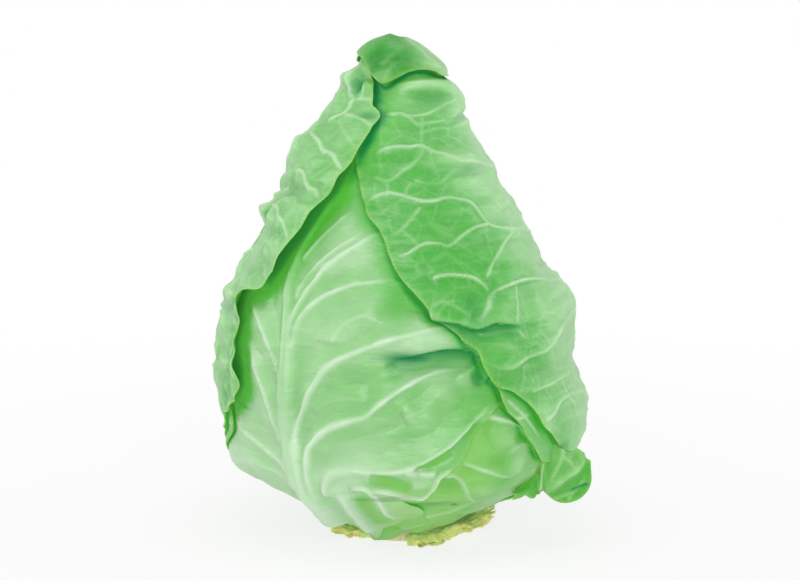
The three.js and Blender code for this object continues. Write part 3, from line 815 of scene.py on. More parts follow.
left_under_leaf = leaf(
    "left_under_leaf",
    [[(-150, 32), (-158, 44), (-160, 56), (-160, 70), (-160, 96), (-160, 124)],
     [(-126, 28), (-126, 44), (-126, 56), (-126, 70), (-126, 96), (-126, 124)],
     [(-98, 33), (-84, 42), (-76, 50), (-88, 70), (-96, 96), (-100, 124)]],
    101, [40, 50], lambda a, h: 5.0 + 0 * a, left_under_relief, seed=13, clear=0.15)

# The leaf that shows as a strip under the right leaf's lower edge.
STRIP_LIFT = 5.5
under_edge = np.concatenate([
    [(68, 38)],
    seen(path(65.4, 35.7, 61.5, 36.1, 60.2, 38.3, 57.2, 43.4, 54.2, 47.3, 51.2, 52.5, 46.9, 56.8,
        44.3, 61.9, 42.6, 66.2, 40, 69.7), STRIP_LIFT),
    [(34, 80), (30, 92)]])
under_mid = [(74, 36), (72, 38), (70, 40), (68, 43), (66, 47), (64, 50), (62, 54), (60, 58),
             (58, 63), (56, 68), (54, 73), (52, 82), (50, 94)]
under_back = [(84, 34), (83, 36), (82, 38), (82, 41), (81, 46), (80, 50), (80, 55), (80, 60),
              (80, 65), (80, 70), (80, 76), (80, 86), (80, 98)]


def right_under_relief(r):
    r.veins(STRIP_LIFT, [
        (path(45.1, 63.2, 50.7, 58, 55.9, 52, 61.1, 44.3), (0.8, 0.4), (0.5, 0.3), 0.6),
        (path(46.4, 54.6, 51.6, 54.6, 56.8, 57.2), (0.8, 0.4), (0.5, 0.3), 0.6)], fade=(0.1, 0.3))
    r.wave += 0.7 * lumps(r.bare, 9, 71)
    r.bloom_and_highlight += 0.25


right_under_leaf = leaf("right_under_leaf", [under_edge, under_mid, under_back], 101, [40, 40],
                        lambda a, h: 4.4 + 0 * a, right_under_relief,
                        ruffle=(0.9, 6.0, 3.0), seed=14, clear=0.2)

# The right leaf: left margin, midrib and back margin.
RIGHT_LIFT = 8.0            # where its drawn lines lie
SHOULDER_LIFT = 9.0         # where those below its crown do
right_edge = np.concatenate([
    [(96, 14), (92, 21)],
    seen(path(77.4, 38.7, 74, 40.4, 71, 40.9, 68.8, 42.6, 65.8, 46.9, 61.5, 51.2, 59.3, 55.5,
        56.3, 60.2, 52.5, 63.2, 48.2, 66.2, 43.4, 67.5, 40, 70.5, 37.8, 73.5, 35.3, 79.5,
        34.4, 83, 31.4, 85.6, 28.4, 87.3, 25.4, 90.7, 21.5, 93.7, 17.6, 95.9, 14.2, 97.6,
        12, 101.5, 9, 104.9, 4.7, 109.6, -0.4, 116.1, -4.3, 123.4, -6.5, 129.9, -9.5, 136.3,
        -13.8, 141.5, -15.5, 147.1, -18.1, 157.8, -19.4, 163.4), RIGHT_LIFT),
    [(-30, 171), (-44, 180), (-66, 190), (-90, 198), (-100, 202)]])
right_heights = np.maximum.accumulate(np.append([14, 19.5, 25], right_edge[3:, 1]))
right_mid = np.stack([np.interp(right_heights, [14, 180, 202], [112, 111, 100]), right_heights], -1)
right_back = np.stack([
    np.interp(right_heights, [14, 30, 40, 60, 100, 146, 170, 193, 202],
              [140, 168, 180, 192, 195, 187, 182, 184, 178]), right_heights], -1)


def right_layer(a, h):
    lift = 1.2 + 5.6 * smooth(h, 11, 28)
    lift += hill(a, 92, 42) * (1.8 * hill(h, 52, 17) + 3.2 * hill(h, 100, 9))
    lift += 2.4 * hill(a, 10, 42) * smooth(h, 183, 190)
    return lift + 3.6 * hill(a, 76, 44) * hill(h, 186, 9) - 3 * smooth(h, 172, 192)


def right_veins(r):
    r.rib([(112, 12), (112, 60), (112, 120), (110, 170), (104, 198)], (5.2, 0.9), (3.0, 0.6), 0.9,
          fade=(0.0, 0.1))
    r.veins(RIGHT_LIFT, [
        (path(-6.9, 185.3, -3, 185.3, 0, 185.8, 4.3, 184.5, 10.8, 185.3, 17.2, 188.3, 23.6, 192.2),
            (0.9, 0.5), (0.8, 0.4), 1.0),
        (path(3.4, 184.5, 7.7, 181, 12.9, 181.5, 19.4, 182.3), (0.7, 0.4), (0.5, 0.3), 0.7),
        (path(-12, 166.4, -8.6, 169, -4.3, 170.3, 0, 170.7, 4.3, 170.7, 8.6, 171.1, 13.8, 168.6,
            18.9, 167.3, 24.9, 164.3, 31.8, 164.3, 38.7, 162.1, 43.9, 160.4),
            (0.9, 0.6), (1.2, 0.6), 1.0),
        (path(-16.3, 145.8, -10.8, 149.2, -5.2, 150.9, 0, 150.1, 4.3, 148.8, 9.5, 147.5,
            14.6, 147.5, 19.8, 148.8, 24.9, 148.3, 29.2, 147.1, 33.5, 142.8, 38.7, 137.2,
            44.7, 136.3, 51.6, 135.4, 57.6, 135.4), (0.9, 0.7), (1.1, 0.8), 1.0),
        (path(-3, 123.8, 2.1, 124.7, 6.5, 127.3, 10.8, 129.4, 17.2, 129.4, 21.1, 128.6,
            26.7, 132.9, 31.8, 136.3, 37.8, 137.6, 43.9, 135.9, 51.6, 135.4),
            (1.0, 0.7), (1.1, 0.7), 1.0),
        (path(12.9, 114.4, 18.1, 115.7, 23.6, 116.1, 30.1, 115.2, 35.3, 112.2, 38.3, 107.9),
            (0.9, 0.6), (1.0, 0.6), 1.0),
        (path(32.7, 95.9, 36.1, 100.2, 38.7, 107.1, 43, 110.1, 48.2, 112.2, 54.2, 114, 61.1, 114,
            67.1, 113.5, 71.4, 111.8), (1.0, 0.7), (1.3, 0.8), 1.0),
        (path(42.1, 75.7, 48.2, 76.5, 54.2, 80.4, 58.5, 82.1, 62.4, 83.8, 66.2, 88.6, 69.7, 95.9,
            74, 102.8, 76.1, 105.3), (0.9, 0.6), (1.0, 0.7), 1.0),
        (path(55.5, 65.4, 61.1, 67.5, 67.1, 70.5, 69.7, 72.2, 74, 75.2),
            (0.8, 0.5), (0.8, 0.5), 0.85),
        (path(60.6, 52.9, 65.4, 56.3, 68.8, 61.5, 73.1, 64.9, 77.4, 66.7),
            (0.8, 0.5), (0.9, 0.5), 0.9),
        (path(33.5, 91.2, 38.7, 90.7, 43.9, 92, 49.4, 92, 54.2, 88.2), (0.7, 0.4), (0.5, 0.3), 0.7),
        (path(36.1, 113.1, 39.6, 120.8, 43.9, 129, 48.2, 136.3), (0.7, 0.6), (0.7, 0.5), 0.85),
        (path(49.9, 112.2, 49.9, 105.3, 49.4, 96.8, 48.2, 94.2), (0.6, 0.5), (0.5, 0.4), 0.65),
        (path(9, 145.8, 6.5, 142.3, 3.9, 138.9, 0.9, 135.9, -4.3, 132.9),
            (0.7, 0.5), (0.6, 0.4), 0.75),
        (path(0.9, 135, 5.2, 132, 8.6, 127.7), (0.6, 0.4), (0.5, 0.3), 0.6),
        (path(-6, 156.1, -5.2, 152.7, -6, 149.2), (0.5, 0.4), (0.4, 0.3), 0.6),
        (path(10.3, 170.7, 6.9, 164.7, 0.9, 160.4, -5.2, 156.1, -10.3, 157.8, -12.9, 158.7),
            (0.6, 0.4), (0.5, 0.4), 0.7),
        (path(5.2, 156.9, 10.3, 155.2, 17.2, 155.7, 22.4, 160.4, 28.4, 161.2),
            (0.6, 0.4), (0.6, 0.4), 0.6),
        (path(9.5, 184, 9.5, 177.6, 8.6, 171.6), (0.5, 0.4), (0.4, 0.3), 0.55),
        (path(9.5, 177.2, 16.3, 178.9, 21.5, 178.4), (0.5, 0.4), (0.4, 0.3), 0.55),
        (path(5.2, 156.1, 2.6, 151.8, 3.4, 148.8), (0.5, 0.4), (0.4, 0.3), 0.5),
        (path(14.2, 101.9, 17.2, 104.5, 21.5, 103.6, 26.7, 101, 31, 97.6),
            (0.6, 0.4), (0.5, 0.3), 0.6),
        (path(15.5, 98.5, 18.9, 102.8, 24.1, 105.3), (0.5, 0.4), (0.4, 0.3), 0.5),
        (path(75.7, 105.3, 76.1, 92.5, 75.7, 81.3, 74, 74.4, 77.4, 69.2),
            (0.8, 0.6), (0.6, 0.5), 0.9),
        (path(68.8, 71.8, 71.4, 65.8, 74.4, 60.6, 75.7, 53.8, 77.4, 48.6),
            (0.6, 0.4), (0.6, 0.4), 0.7),
        (path(52.5, 77, 53.3, 71, 51.6, 64.9), (0.5, 0.4), (0.4, 0.3), 0.5),
        (path(51.6, 144.9, 48.2, 139.8, 45.6, 134.6), (0.6, 0.4), (0.4, 0.3), 0.5),
    ], thin=0.72, fade=(0.08, 0.1), feather=0.25)
    side_veins(r, (1.5, 0.6), (1.3, 0.6), 0.95, 0.2, [
        ((112, 30), 62, 30), ((112, 52), 66, 36), ((112, 80), 68, 36),
        ((112, 108), 64, 32), ((112, 136), 58, 26), ((111, 160), 50, 20)])
    side_veins(r, (1.4, 0.7), (1.2, 0.6), 0.9, 0.3, [
        ((112, 66), -30, 22), ((112, 94), -26, 20), ((112, 122), -26, 16), ((112, 40), -26, 16)])


def right_relief(r):
    right_veins(r)
    net(r, 11, 0.5, 0.45, 81, 0.3 + 0.7 * smooth(r.angle, 78, 92))
    r.wave += puckers(r, 1.1, 87) + 0.7 * lumps(r.bare, 18, 85)
    # pale wax and painted highlight: paler to the right and high up, and in patches
    r.bloom_and_highlight += 0.95 * smooth(r.angle, 42, 78) + 0.3 * smooth(r.height, 155, 180) - 0.1
    r.highlight_and_wax_patches(RIGHT_LIFT, [
        ((8.6, 198.7), (10.0, 2.6), 0.9), ((19.4, 187.9), (8.0, 2.5), 0.4),
        ((22.4, 166.4), (10.0, 4.0), 0.8),
        ((31.8, 156.1), (13.0, 8.0), 0.9), ((38.7, 141.9), (8.0, 5.0), 0.5),
        ((49.4, 126.8), (8.0, 6.0), 0.5),
        ((45.1, 146.2), (8.0, 8.0), 0.4), ((51.6, 105.3), (12.0, 8.0), 0.3),
        ((66.7, 83.8), (8.0, 12.0), 0.4),
        ((62.4, 51.6), (5.0, 9.0), 0.7), ((43, 86), (8.0, 3.0), 0.3),
        ((-3.4, 191.3), (3.0, 5.0), 0.2),
        ((4.3, 192.2), (7.0, 3.0), 0.5)])
    # the pleat that ends at the margin's corner, with painted shade under it
    r.fold(seen(path(12, 98, 14.6, 97.6, 19.8, 96.8, 24.5, 96.3, 28.8, 95, 33.5, 93.7, 37.4, 95,
        41.3, 96.3, 45.6, 95.5, 51.6, 94.2), RIGHT_LIFT),
           1.6, 2.0, (7.0, 8.0), blend=0.6, slide=1.8, dark=0.8, fade=(0.02, 0.25))
    # dents and bulges; where dark or shade is given, it is painted shade
    r.swells(RIGHT_LIFT, [
        ((31.8, 100.2), (4.0, 8.0), -1.0, 0.1), ((27.5, 184.5), (10.0, 1.8), -2.0, 0.1),
        ((23.6, 165.6), (14.0, 2.6), 1.2), ((30.1, 160.4), (9.0, 2.0), -0.8, 0.2),
        ((77.8, 65.8), (7.0, 5.0), 1.8), ((75.2, 107.1), (7.0, 5.0), 1.8),
        ((68.8, 40), (4.0, 3.0), -1.8, 0.6)])
    r.swells(SHOULDER_LIFT, [
        ((21.5, 195.7), (9.0, 6.0), 1.8), ((8.6, 193.9), (6.0, 2.4), -1.6, 0.0, 0.8),
        ((17.2, 187.9), (5.0, 2.4), -1.2, 0.0, 0.4), ((10.8, 198.2), (7.0, 3.0), 1.6),
        ((15.5, 192.2), (7.0, 4.0), -0.8, 0.15)])
    for place, rise in [((86, 113), -2.8), ((88, 76), -2.4), ((88, 40), -2.2)]:
        r.swell(place, (16.0, 5.0), rise)


right_leaf = leaf("right_leaf", [right_edge, right_mid, right_back], 331, [166, 44], right_layer,
                  right_relief, ruffle=(0.5, 6.0, 4.0), seed=15, clear=0.25)


# The left leaf: back margin, midrib and the rolled margin that shows in front.
LEFT_LIFT = 10.0            # where its drawn dents lie
LEFT_VEIN_LIFT = 11.0       # where its drawn veins do


def left_layer(a, h):
    lift = 1.2 + 6.4 * smooth(h, 11, 28)
    lift += 1.7 * (1 - smooth(a, -165, -148)) + 1.7 * smooth(h, 140, 165)
    lift += 3 * smooth(a, -78, -42) * hill(h, 130, 30)
    side = hill(a, -95, 28)
    lift -= side * ((2.6 - 1.7 * smooth(h, 144, 158)) * smooth(h, 112, 124)
                    * (1 - smooth(h, 176, 188)) + 1.4 * hill(h, 92, 14))
    return lift - 1.8 * hill(a, -125, 25) * hill(h, 20, 7) - 2.4 * smooth(h, 172, 190)


def left_stand(a, h, edge):
    """The front margin rolls out, clear of the leaf in front of it."""
    front = smooth(a, -112, -80)
    return 0.9 * front * np.exp(-edge / 7) * smooth(h, 50, 75) * (1 - 0.6 * smooth(h, 175, 195))


left_edge = np.concatenate([
    [(-108, 14), (-103, 24), (-98, 34), (-92, 42)],
    seen_on(path(-76.5, 54.6, -72.7, 58.9, -69.2, 67.9, -70.5, 79.1, -71.4, 89.9, -70.1, 94.6,
        -69.2, 102.8, -70.1, 106.2, -66.7, 109.6, -61.5, 110.1, -58, 114, -52.9, 121.7,
        -47.3, 129.9, -43.4, 135, -39.1, 141, -34, 147.1, -27.9, 153.5, -25.8, 157.8,
        -21.9, 163.4, -17.6, 170.3, -12, 179.3, -9, 186.2, -11.2, 188.3, -10.8, 193.5,
        -12.5, 201.7, -15, 208.1, -16.3, 210.7),
        lambda a, h: left_layer(a, h) + left_stand(a, h, 0) - 0.1, LEFT_LIFT)])
left_heights = np.maximum.accumulate(left_edge[:, 1])
left_mid = np.stack([np.interp(left_heights, [14, 30, 160, 201], [-122, -116, -112, -106]),
                     left_heights + 6.0 * smooth(left_heights, 188, 199)], -1)
left_back = np.stack([
    np.interp(left_heights, [14, 30, 42, 60, 100, 144, 172, 200],
              [-140, -168, -180, -187, -194, -190, -186, -182]), left_heights], -1)


def left_veins(r):
    r.rib([(-121, 12), (-115, 60), (-114, 120), (-110, 170), (-106, 198)], (5.0, 0.9), (3.0, 0.6),
          0.9, fade=(0.0, 0.1))
    r.veins(LEFT_VEIN_LIFT, [
        (path(-38.7, 178.4, -35.3, 174.2, -32.7, 169.8, -28.8, 167.7, -26.7, 163.8, -24.5, 160.4),
            (1.0, 0.6), (1.0, 0.6), 1.3),
        (path(-46.4, 160.4, -43.4, 161.2, -41.3, 159.5, -40.4, 156.1, -38.7, 153.1, -36.1, 152.2,
            -34.8, 148.3), (0.9, 0.6), (0.9, 0.6), 1.3),
        (path(-56.8, 147.5, -53.8, 145.8, -52.5, 142.3, -50.3, 138.9, -49, 134.6, -47.3, 131.2),
            (1.0, 0.6), (1.0, 0.6), 1.3),
        (path(-64.5, 123.4, -61.5, 122.1, -60.6, 119.1, -58.9, 115.7),
            (0.7, 0.5), (0.6, 0.4), 1.04),
        (path(-32.2, 182.8, -28.4, 184.5, -24.5, 186.2, -22.8, 188.8, -21.5, 192.2, -17.2, 192.6,
            -12, 192.6), (0.8, 0.5), (0.7, 0.4), 1.105),
        (path(-24.5, 185.8, -20.6, 184.9, -17.6, 184, -14.6, 181.9, -12, 179.7),
            (0.7, 0.5), (0.6, 0.4), 1.04),
        (path(-21.1, 205.5, -22.4, 202.5, -23.2, 198.7, -22.8, 195.2, -21.5, 192.2),
            (0.8, 0.7), (0.9, 0.7), 1.3),
        (path(-20.6, 201.7, -18.9, 202.1, -17.6, 200.4, -17.4, 195.7, -18.5, 192.2),
            (0.7, 0.5), (0.6, 0.4), 0.78),
        (path(-49.9, 152.7, -46.4, 150.1, -44.3, 145.8), (0.6, 0.4), (0.4, 0.3), 0.78),
        (path(-49, 161.2, -50.7, 156.1, -48.6, 151.8), (0.6, 0.4), (0.4, 0.3), 0.78),
        (path(-75.7, 88.2, -76.5, 83, -74.8, 77, -72.2, 71), (0.7, 0.5), (0.5, 0.4), 0.91),
        (path(-78.7, 79.5, -74.8, 78.7, -71.4, 83), (0.6, 0.4), (0.4, 0.3), 0.78),
        (path(-74.8, 101, -74, 92.5, -75.7, 86), (0.6, 0.5), (0.5, 0.3), 0.78),
        (path(-26.7, 184.5, -23.2, 176.7, -18.9, 169.8), (0.5, 0.4), (0.3, 0.2), 0.585),
    ], thin=0.75, fade=(0.1, 0.1), feather=0.2, crisp=2.5)
    rows = [((-115, 30), 34, 20), ((-115, 52), 40, 26), ((-114, 78), 44, 28),
            ((-114, 104), 46, 26), ((-113, 130), 50, 22), ((-112, 156), 56, 16)]
    rows += [((a, h + 8), -1.25 * reach, 1.2 * climb) for (a, h), reach, climb in rows]
    side_veins(r, (1.4, 0.6), (1.2, 0.6), 0.9, 0.25, rows)


def left_relief(r):
    left_veins(r)
    net(r, 11, 0.5, 0.4, 91, 0.35 + 0.65 * (1 - smooth(r.angle, -100, -85)), swell=1.5)
    blistered = 1 - np.exp(-((r.near_vein / 6) ** 2))
    r.wave += blistered * (0.6 + 0.4 * noise(r.bare, 12, 93)) + puckers(r, 0.7, 97)
    # dents and bulges that scallop the outline on the left, long round the head; where dark or
    # shade is given, it is painted shade
    r.swells(LEFT_LIFT, [
        ((-43, 173.3), (14.0, 5.0), 1.4), ((-47.3, 166.4), (12.0, 4.0), 0.6),
        ((-50.3, 153.9), (16.0, 3.2), -4.4), ((-59.3, 144.5), (14.0, 4.0), 4.4),
        ((-59.3, 136.3), (16.0, 2.6), -2.6), ((-62.8, 131.2), (14.0, 3.0), -0.8),
        ((-65.4, 123), (14.0, 5.0), -5.6), ((-75.2, 109.2), (12.0, 4.0), 2.4),
        ((-76.5, 103.6), (12.0, 2.2), -2.4, 0.15), ((-80.4, 92.5), (10.0, 4.0), 1.0),
        ((-30.1, 189.2), (12.0, 3.0), 1.6), ((-33.5, 182.3), (12.0, 3.0), -1.8),
        ((-24.5, 201.7), (9.0, 5.5), 4.0), ((-27.5, 193.9), (9.0, 4.0), 2.2),
        ((-19.4, 198.7), (1.9, 3.6), -2.2, 0.65), ((-14.2, 184.5), (3.0, 1.6), -1.2, 0.35),
        ((-44.7, 166.4), (4.0, 5.0), -1.2), ((-58, 141.5), (2.2, 3.2), -1.8, 0.3),
        ((-56.8, 137.2), (4.0, 4.0), 0.9), ((-44.7, 150.1), (5.0, 5.0), 1.0),
        ((-30.1, 163.4), (9.0, 7.0), 1.0), ((-43, 144.1), (8.0, 5.0), 0.8),
        ((-74.8, 86), (2.5, 6.0), -1.2, 0.2), ((-72.2, 74.4), (3.0, 7.0), 1.2),
        ((-77, 65.8), (3.0, 6.0), -1.0, 0.2), ((-73.1, 104.5), (3.0, 2.0), -1.2, 0.5),
        ((-57.6, 142.3), (1.6, 4.0), -1.4, 0.0, 0.8), ((-16.8, 202.5), (2.4, 6.0), -0.6, 0.0, 0.7),
        ((-48.6, 156.1), (3.0, 4.0), -0.6, 0.0, 0.6), ((-41.3, 170.7), (3.0, 5.0), -0.6, 0.0, 0.4)])
    r.swell((-92, 124), (16.0, 5.0), -2.6)
    # pale wax and painted highlight, most round the side at -88 degrees
    r.bloom_and_highlight += 0.42 + 0.5 * hill(r.angle, -88, 14)
    r.wave += 0.9 * lumps(r.bare, 15, 95) - 1.0


left_leaf = leaf("left_leaf", [left_back, left_mid, left_edge], 301, [60, 130], left_layer,
                 left_relief, stand=left_stand, ruffle=(1.1, 8.0, 5.0), seed=16, clear=0.25)


# The folded tip, a hood with a pointed lobe in front: a ring of rays from margin to crown.
TIP_LIFT = 11.5             # where its drawn lines lie
TIP_EDGE_LIFT = 10.0        # where its margin does


def tip_hood():
    columns, rows = 180, 61
    turn = np.linspace(-180, 180, columns + 1)[:-1]
    margin = 199.5 - 12 * (hill(turn, -190, 55) + hill(turn, 170, 55))
    front = seen(path(-16.8, 212.4, -15, 208.5, -13.3, 205.1, -11.6, 201.2, -9.9, 199.5,
        -7.3, 197.4, -4.3, 198.7, -0.9, 201.2, 3.4, 203.6, 7.7, 204.7, 12, 204.7, 16.3, 203.8,
        20.2, 201.7), TIP_EDGE_LIFT)
    inside = (turn > front[0, 0]) & (turn < front[-1, 0])
    order = np.argsort(front[:, 0])
    margin[inside] = np.interp(turn[inside], front[order, 0], front[order, 1])
    side = (turn <= front[0, 0]) & (turn > -120)
    margin[side] = np.maximum(margin[side], front[0, 1] + (front[0, 0] - turn[side]) * 0.02)
    right = turn >= front[-1, 0]
    margin[right] = np.minimum(margin[right], front[-1, 1] + 0.02 * (turn[right] - front[-1, 0]))
    for _ in range(2):
        margin = (np.roll(margin, 1) + 2 * margin + np.roll(margin, -1)) / 4
    t = (np.arange(rows) / rows) ** 0.85
    height = margin[None] + (CROWN - 0.4 - margin[None]) * t[:, None]
    angle = np.repeat(turn[None], rows, 0)
    return angle, height


def ring_leaf(name, angle, height, lift, thick, vein, marks, pole_lift):
    """A closed hood from a ring of columns that meet at a pole."""
    r, c = angle.shape
    a, h = angle.ravel(), height.ravel()
    outer = on_head(a, h, lift + thick + vein)
    inner = on_head(a, h, lift)
    pole = on_head(np.zeros(2), np.full(2, CROWN), np.array([pole_lift + 1.0, pole_lift]))
    points = np.concatenate([outer, inner, pole])
    fine = np.arange(r * c).reshape(r, c)
    around = np.roll(fine, -1, 1)
    quads = np.stack([fine[:-1], around[:-1], around[1:], fine[1:]], -1).reshape(-1, 4)
    under = quads[:, ::-1] + r * c
    wall = np.stack([around[0], fine[0], fine[0] + r * c, around[0] + r * c], -1)
    top = 2 * r * c
    caps = np.concatenate([
        np.stack([fine[-1], around[-1], np.full(c, top)], -1),
        np.stack([around[-1] + r * c, fine[-1] + r * c, np.full(c, top + 1)], -1)])
    marks = {k: np.concatenate([v, v, [0.0, 0.0]]) for k, v in marks.items()}
    return solid(name, points, np.concatenate([quads, under, wall]), caps, marks)


tip_angle, tip_height = tip_hood()
tip_relief = Relief(tip_angle, tip_height)
tip_relief.wave += 0.8 * lumps(tip_relief.bare, 10, 101) + 0.2 * noise(tip_relief.bare, 4, 103)
tip_relief.veins(TIP_LIFT, [(line, (0.6, 0.4), (0.4, 0.3), 0.5) for line in (
    path(-9.5, 206.8, -3.4, 212, 1.7, 215.4, 6.9, 216.3), path(-6.9, 198.2, -5.2, 204.2,
        -1.7, 209.4))], fade=(0.1, 0.2))
# dents and bulges; where dark is given, it is painted shade
tip_relief.swells(TIP_LIFT, [
    ((-2.6, 212), (5.0, 4.0), -2.2, 0.1), ((-7.3, 206), (5.0, 3.0), -1.0),
    ((5.2, 215.4), (6.0, 3.0), 1.8),
    ((12.9, 207.7), (6.0, 2.4), 1.6), ((-13.8, 212.8), (2.6, 4.0), 1.4),
    ((-11.2, 210.3), (1.6, 5.0), -1.4, 0.1),
    ((-6.9, 199.9), (3.0, 2.0), 0.8), ((-6.9, 217.2), (4.0, 2.0), 1.2),
    ((3.4, 208.5), (5.0, 3.0), -1.2),
    ((17.2, 206), (3.0, 3.0), 1.2)])
tip_edge = (tip_height - tip_height[:1]).ravel()
fade_in = 1 - smooth(tip_height, CROWN - 6, CROWN - 0.5).ravel()
tip_a, tip_h = tip_angle.ravel(), tip_height.ravel()
tip_lift = 10.9 - 3 * smooth(tip_h, CROWN - 8, CROWN) + tip_relief.wave * fade_in
tip_lift += (0.6 * hill(tip_h, 190, 5) - 5.8 * hill(tip_h, 200.5, 4.5)) * hill(tip_a, 82, 40)
tip_lift += 1.8 * hill(tip_a, -60, 60) * smooth(tip_h, 198, 204)
tip_lift += np.exp(-tip_edge / 2.5) * (0.9 - 4.2 * hill(tip_a, 84, 34))
tip_lift -= 2.4 * np.exp(-tip_edge / 3.0) * hill(tip_a, 15, 45)
tip_lift = np.maximum(tip_lift, cover.under(tip_a, tip_h) * fade_in + 0.3)
tip_thick = 1.0 - 0.5 * np.exp(-tip_edge / 3)
cover.lay(tip_a, tip_h, tip_lift + tip_thick)
# its bloom is pale wax and painted highlight, more to the right; its hollow is painted shade
tip_leaf = ring_leaf(
    "tip_leaf", tip_angle, tip_height, tip_lift, tip_thick, tip_relief.vein * fade_in,
    {"vein": np.clip(tip_relief.pale, 0, 1), "hollow": np.clip(tip_relief.dark, 0, 1),
     "margin": np.exp(-tip_edge / MARGIN_BAND),
     "crest": crests(tip_lift + tip_thick, tip_angle.shape),
     "bloom_and_highlight": (0.03 + smooth(tip_a, 5, 50)) * (1 - smooth(tip_a, 120, 160))}, 7.9)

# The outermost leaf, up the middle of the back.
BACK_RIB = 182              # the angle of its midrib
back_heights = [9, 20, 33, 54, 78, 104, 134, 158, 178, 193]
back_rails = [list(zip(angles, back_heights)) for angles in (
    [166, 148, 134, 124, 120, 120, 124, 130, 140, 160],
    [BACK_RIB] * 8 + [184, 200],
    [198, 214, 230, 238, 242, 243, 239, 226, 214, 210])]


def back_layer(a, h):
    lift = 4 + 7.3 * smooth(h, 11, 28)
    lift += 0.5 * (1 - smooth(h, 45, 65)) + 2 * smooth(h, 135, 160)
    return lift - 2 * smooth(a, 204, 226) * smooth(h, 150, 168)


def back_relief(r):
    r.rib([(BACK_RIB, 7), (BACK_RIB, 60), (BACK_RIB, 120), (184, 170), (192, 190)],
          (5.6, 1.0), (3.2, 0.6), 0.95, fade=(0.0, 0.1))
    for climb, start, reach in [
            (30, 18, 34), (29, 34, 46), (28, 52, 54), (27, 72, 58), (26, 94, 58), (25, 118, 56),
            (24, 142, 50), (23, 162, 40)]:
        side_veins(r, (1.7, 0.6), (1.4, 0.6), 0.95, 0.2, [
            ((BACK_RIB, start), reach, climb), ((BACK_RIB, start + 7), -reach, climb)])
    net(r, 11, 0.5, 0.42, 111, swell=0.8)
    r.wave += puckers(r, 0.9, 117) + 0.9 * lumps(r.bare, 22, 115)
    r.bloom_and_highlight += 0.2


back_leaf = leaf("back_leaf", back_rails, 221, [80, 80], back_layer, back_relief,
                 ruffle=(1.0, 9.0, 5.0), seed=17, clear=0.25)


# ------------------------------------------------------------------------ low parts

# The free lobes low on the right, drawn in the front elevation from root to free margin.
lobe_root = path(48.2, 22.8, 51.2, 24.9, 54.2, 27.5, 56.8, 30.1, 58.9, 32.2, 60, 34.4, 60.4, 36.1,
    61.1, 38.3, 62.4, 40.9, 64.5, 43.4, 67.9, 44.7, 72.7, 43, 74.4, 42.1, 76.1, 41.3, 77.4, 40,
    78.3, 38.7)
lobe_margin = path(48.6, 19.4, 52, 20.2, 54.6, 21.3, 57.2, 19.8, 59.6, 21.1, 60.8, 23.6,
    62.4, 22.4, 64.5, 20.6, 67.1, 18.9, 70.1, 18.1, 73.5, 18.5, 77, 19.8, 80, 22.4, 81.9, 25.8,
    82.1, 30.5, 80.8, 35.3)
lobe_ridge = path(77.4, 40, 77.8, 36.5, 76.5, 33.5, 74, 31, 70.1, 29.2, 67.1, 26.7, 64.1, 24.5,
    61.1, 23.2)


PARTING = 60.5              # how far right the lobe begins; left of it is a plain strip


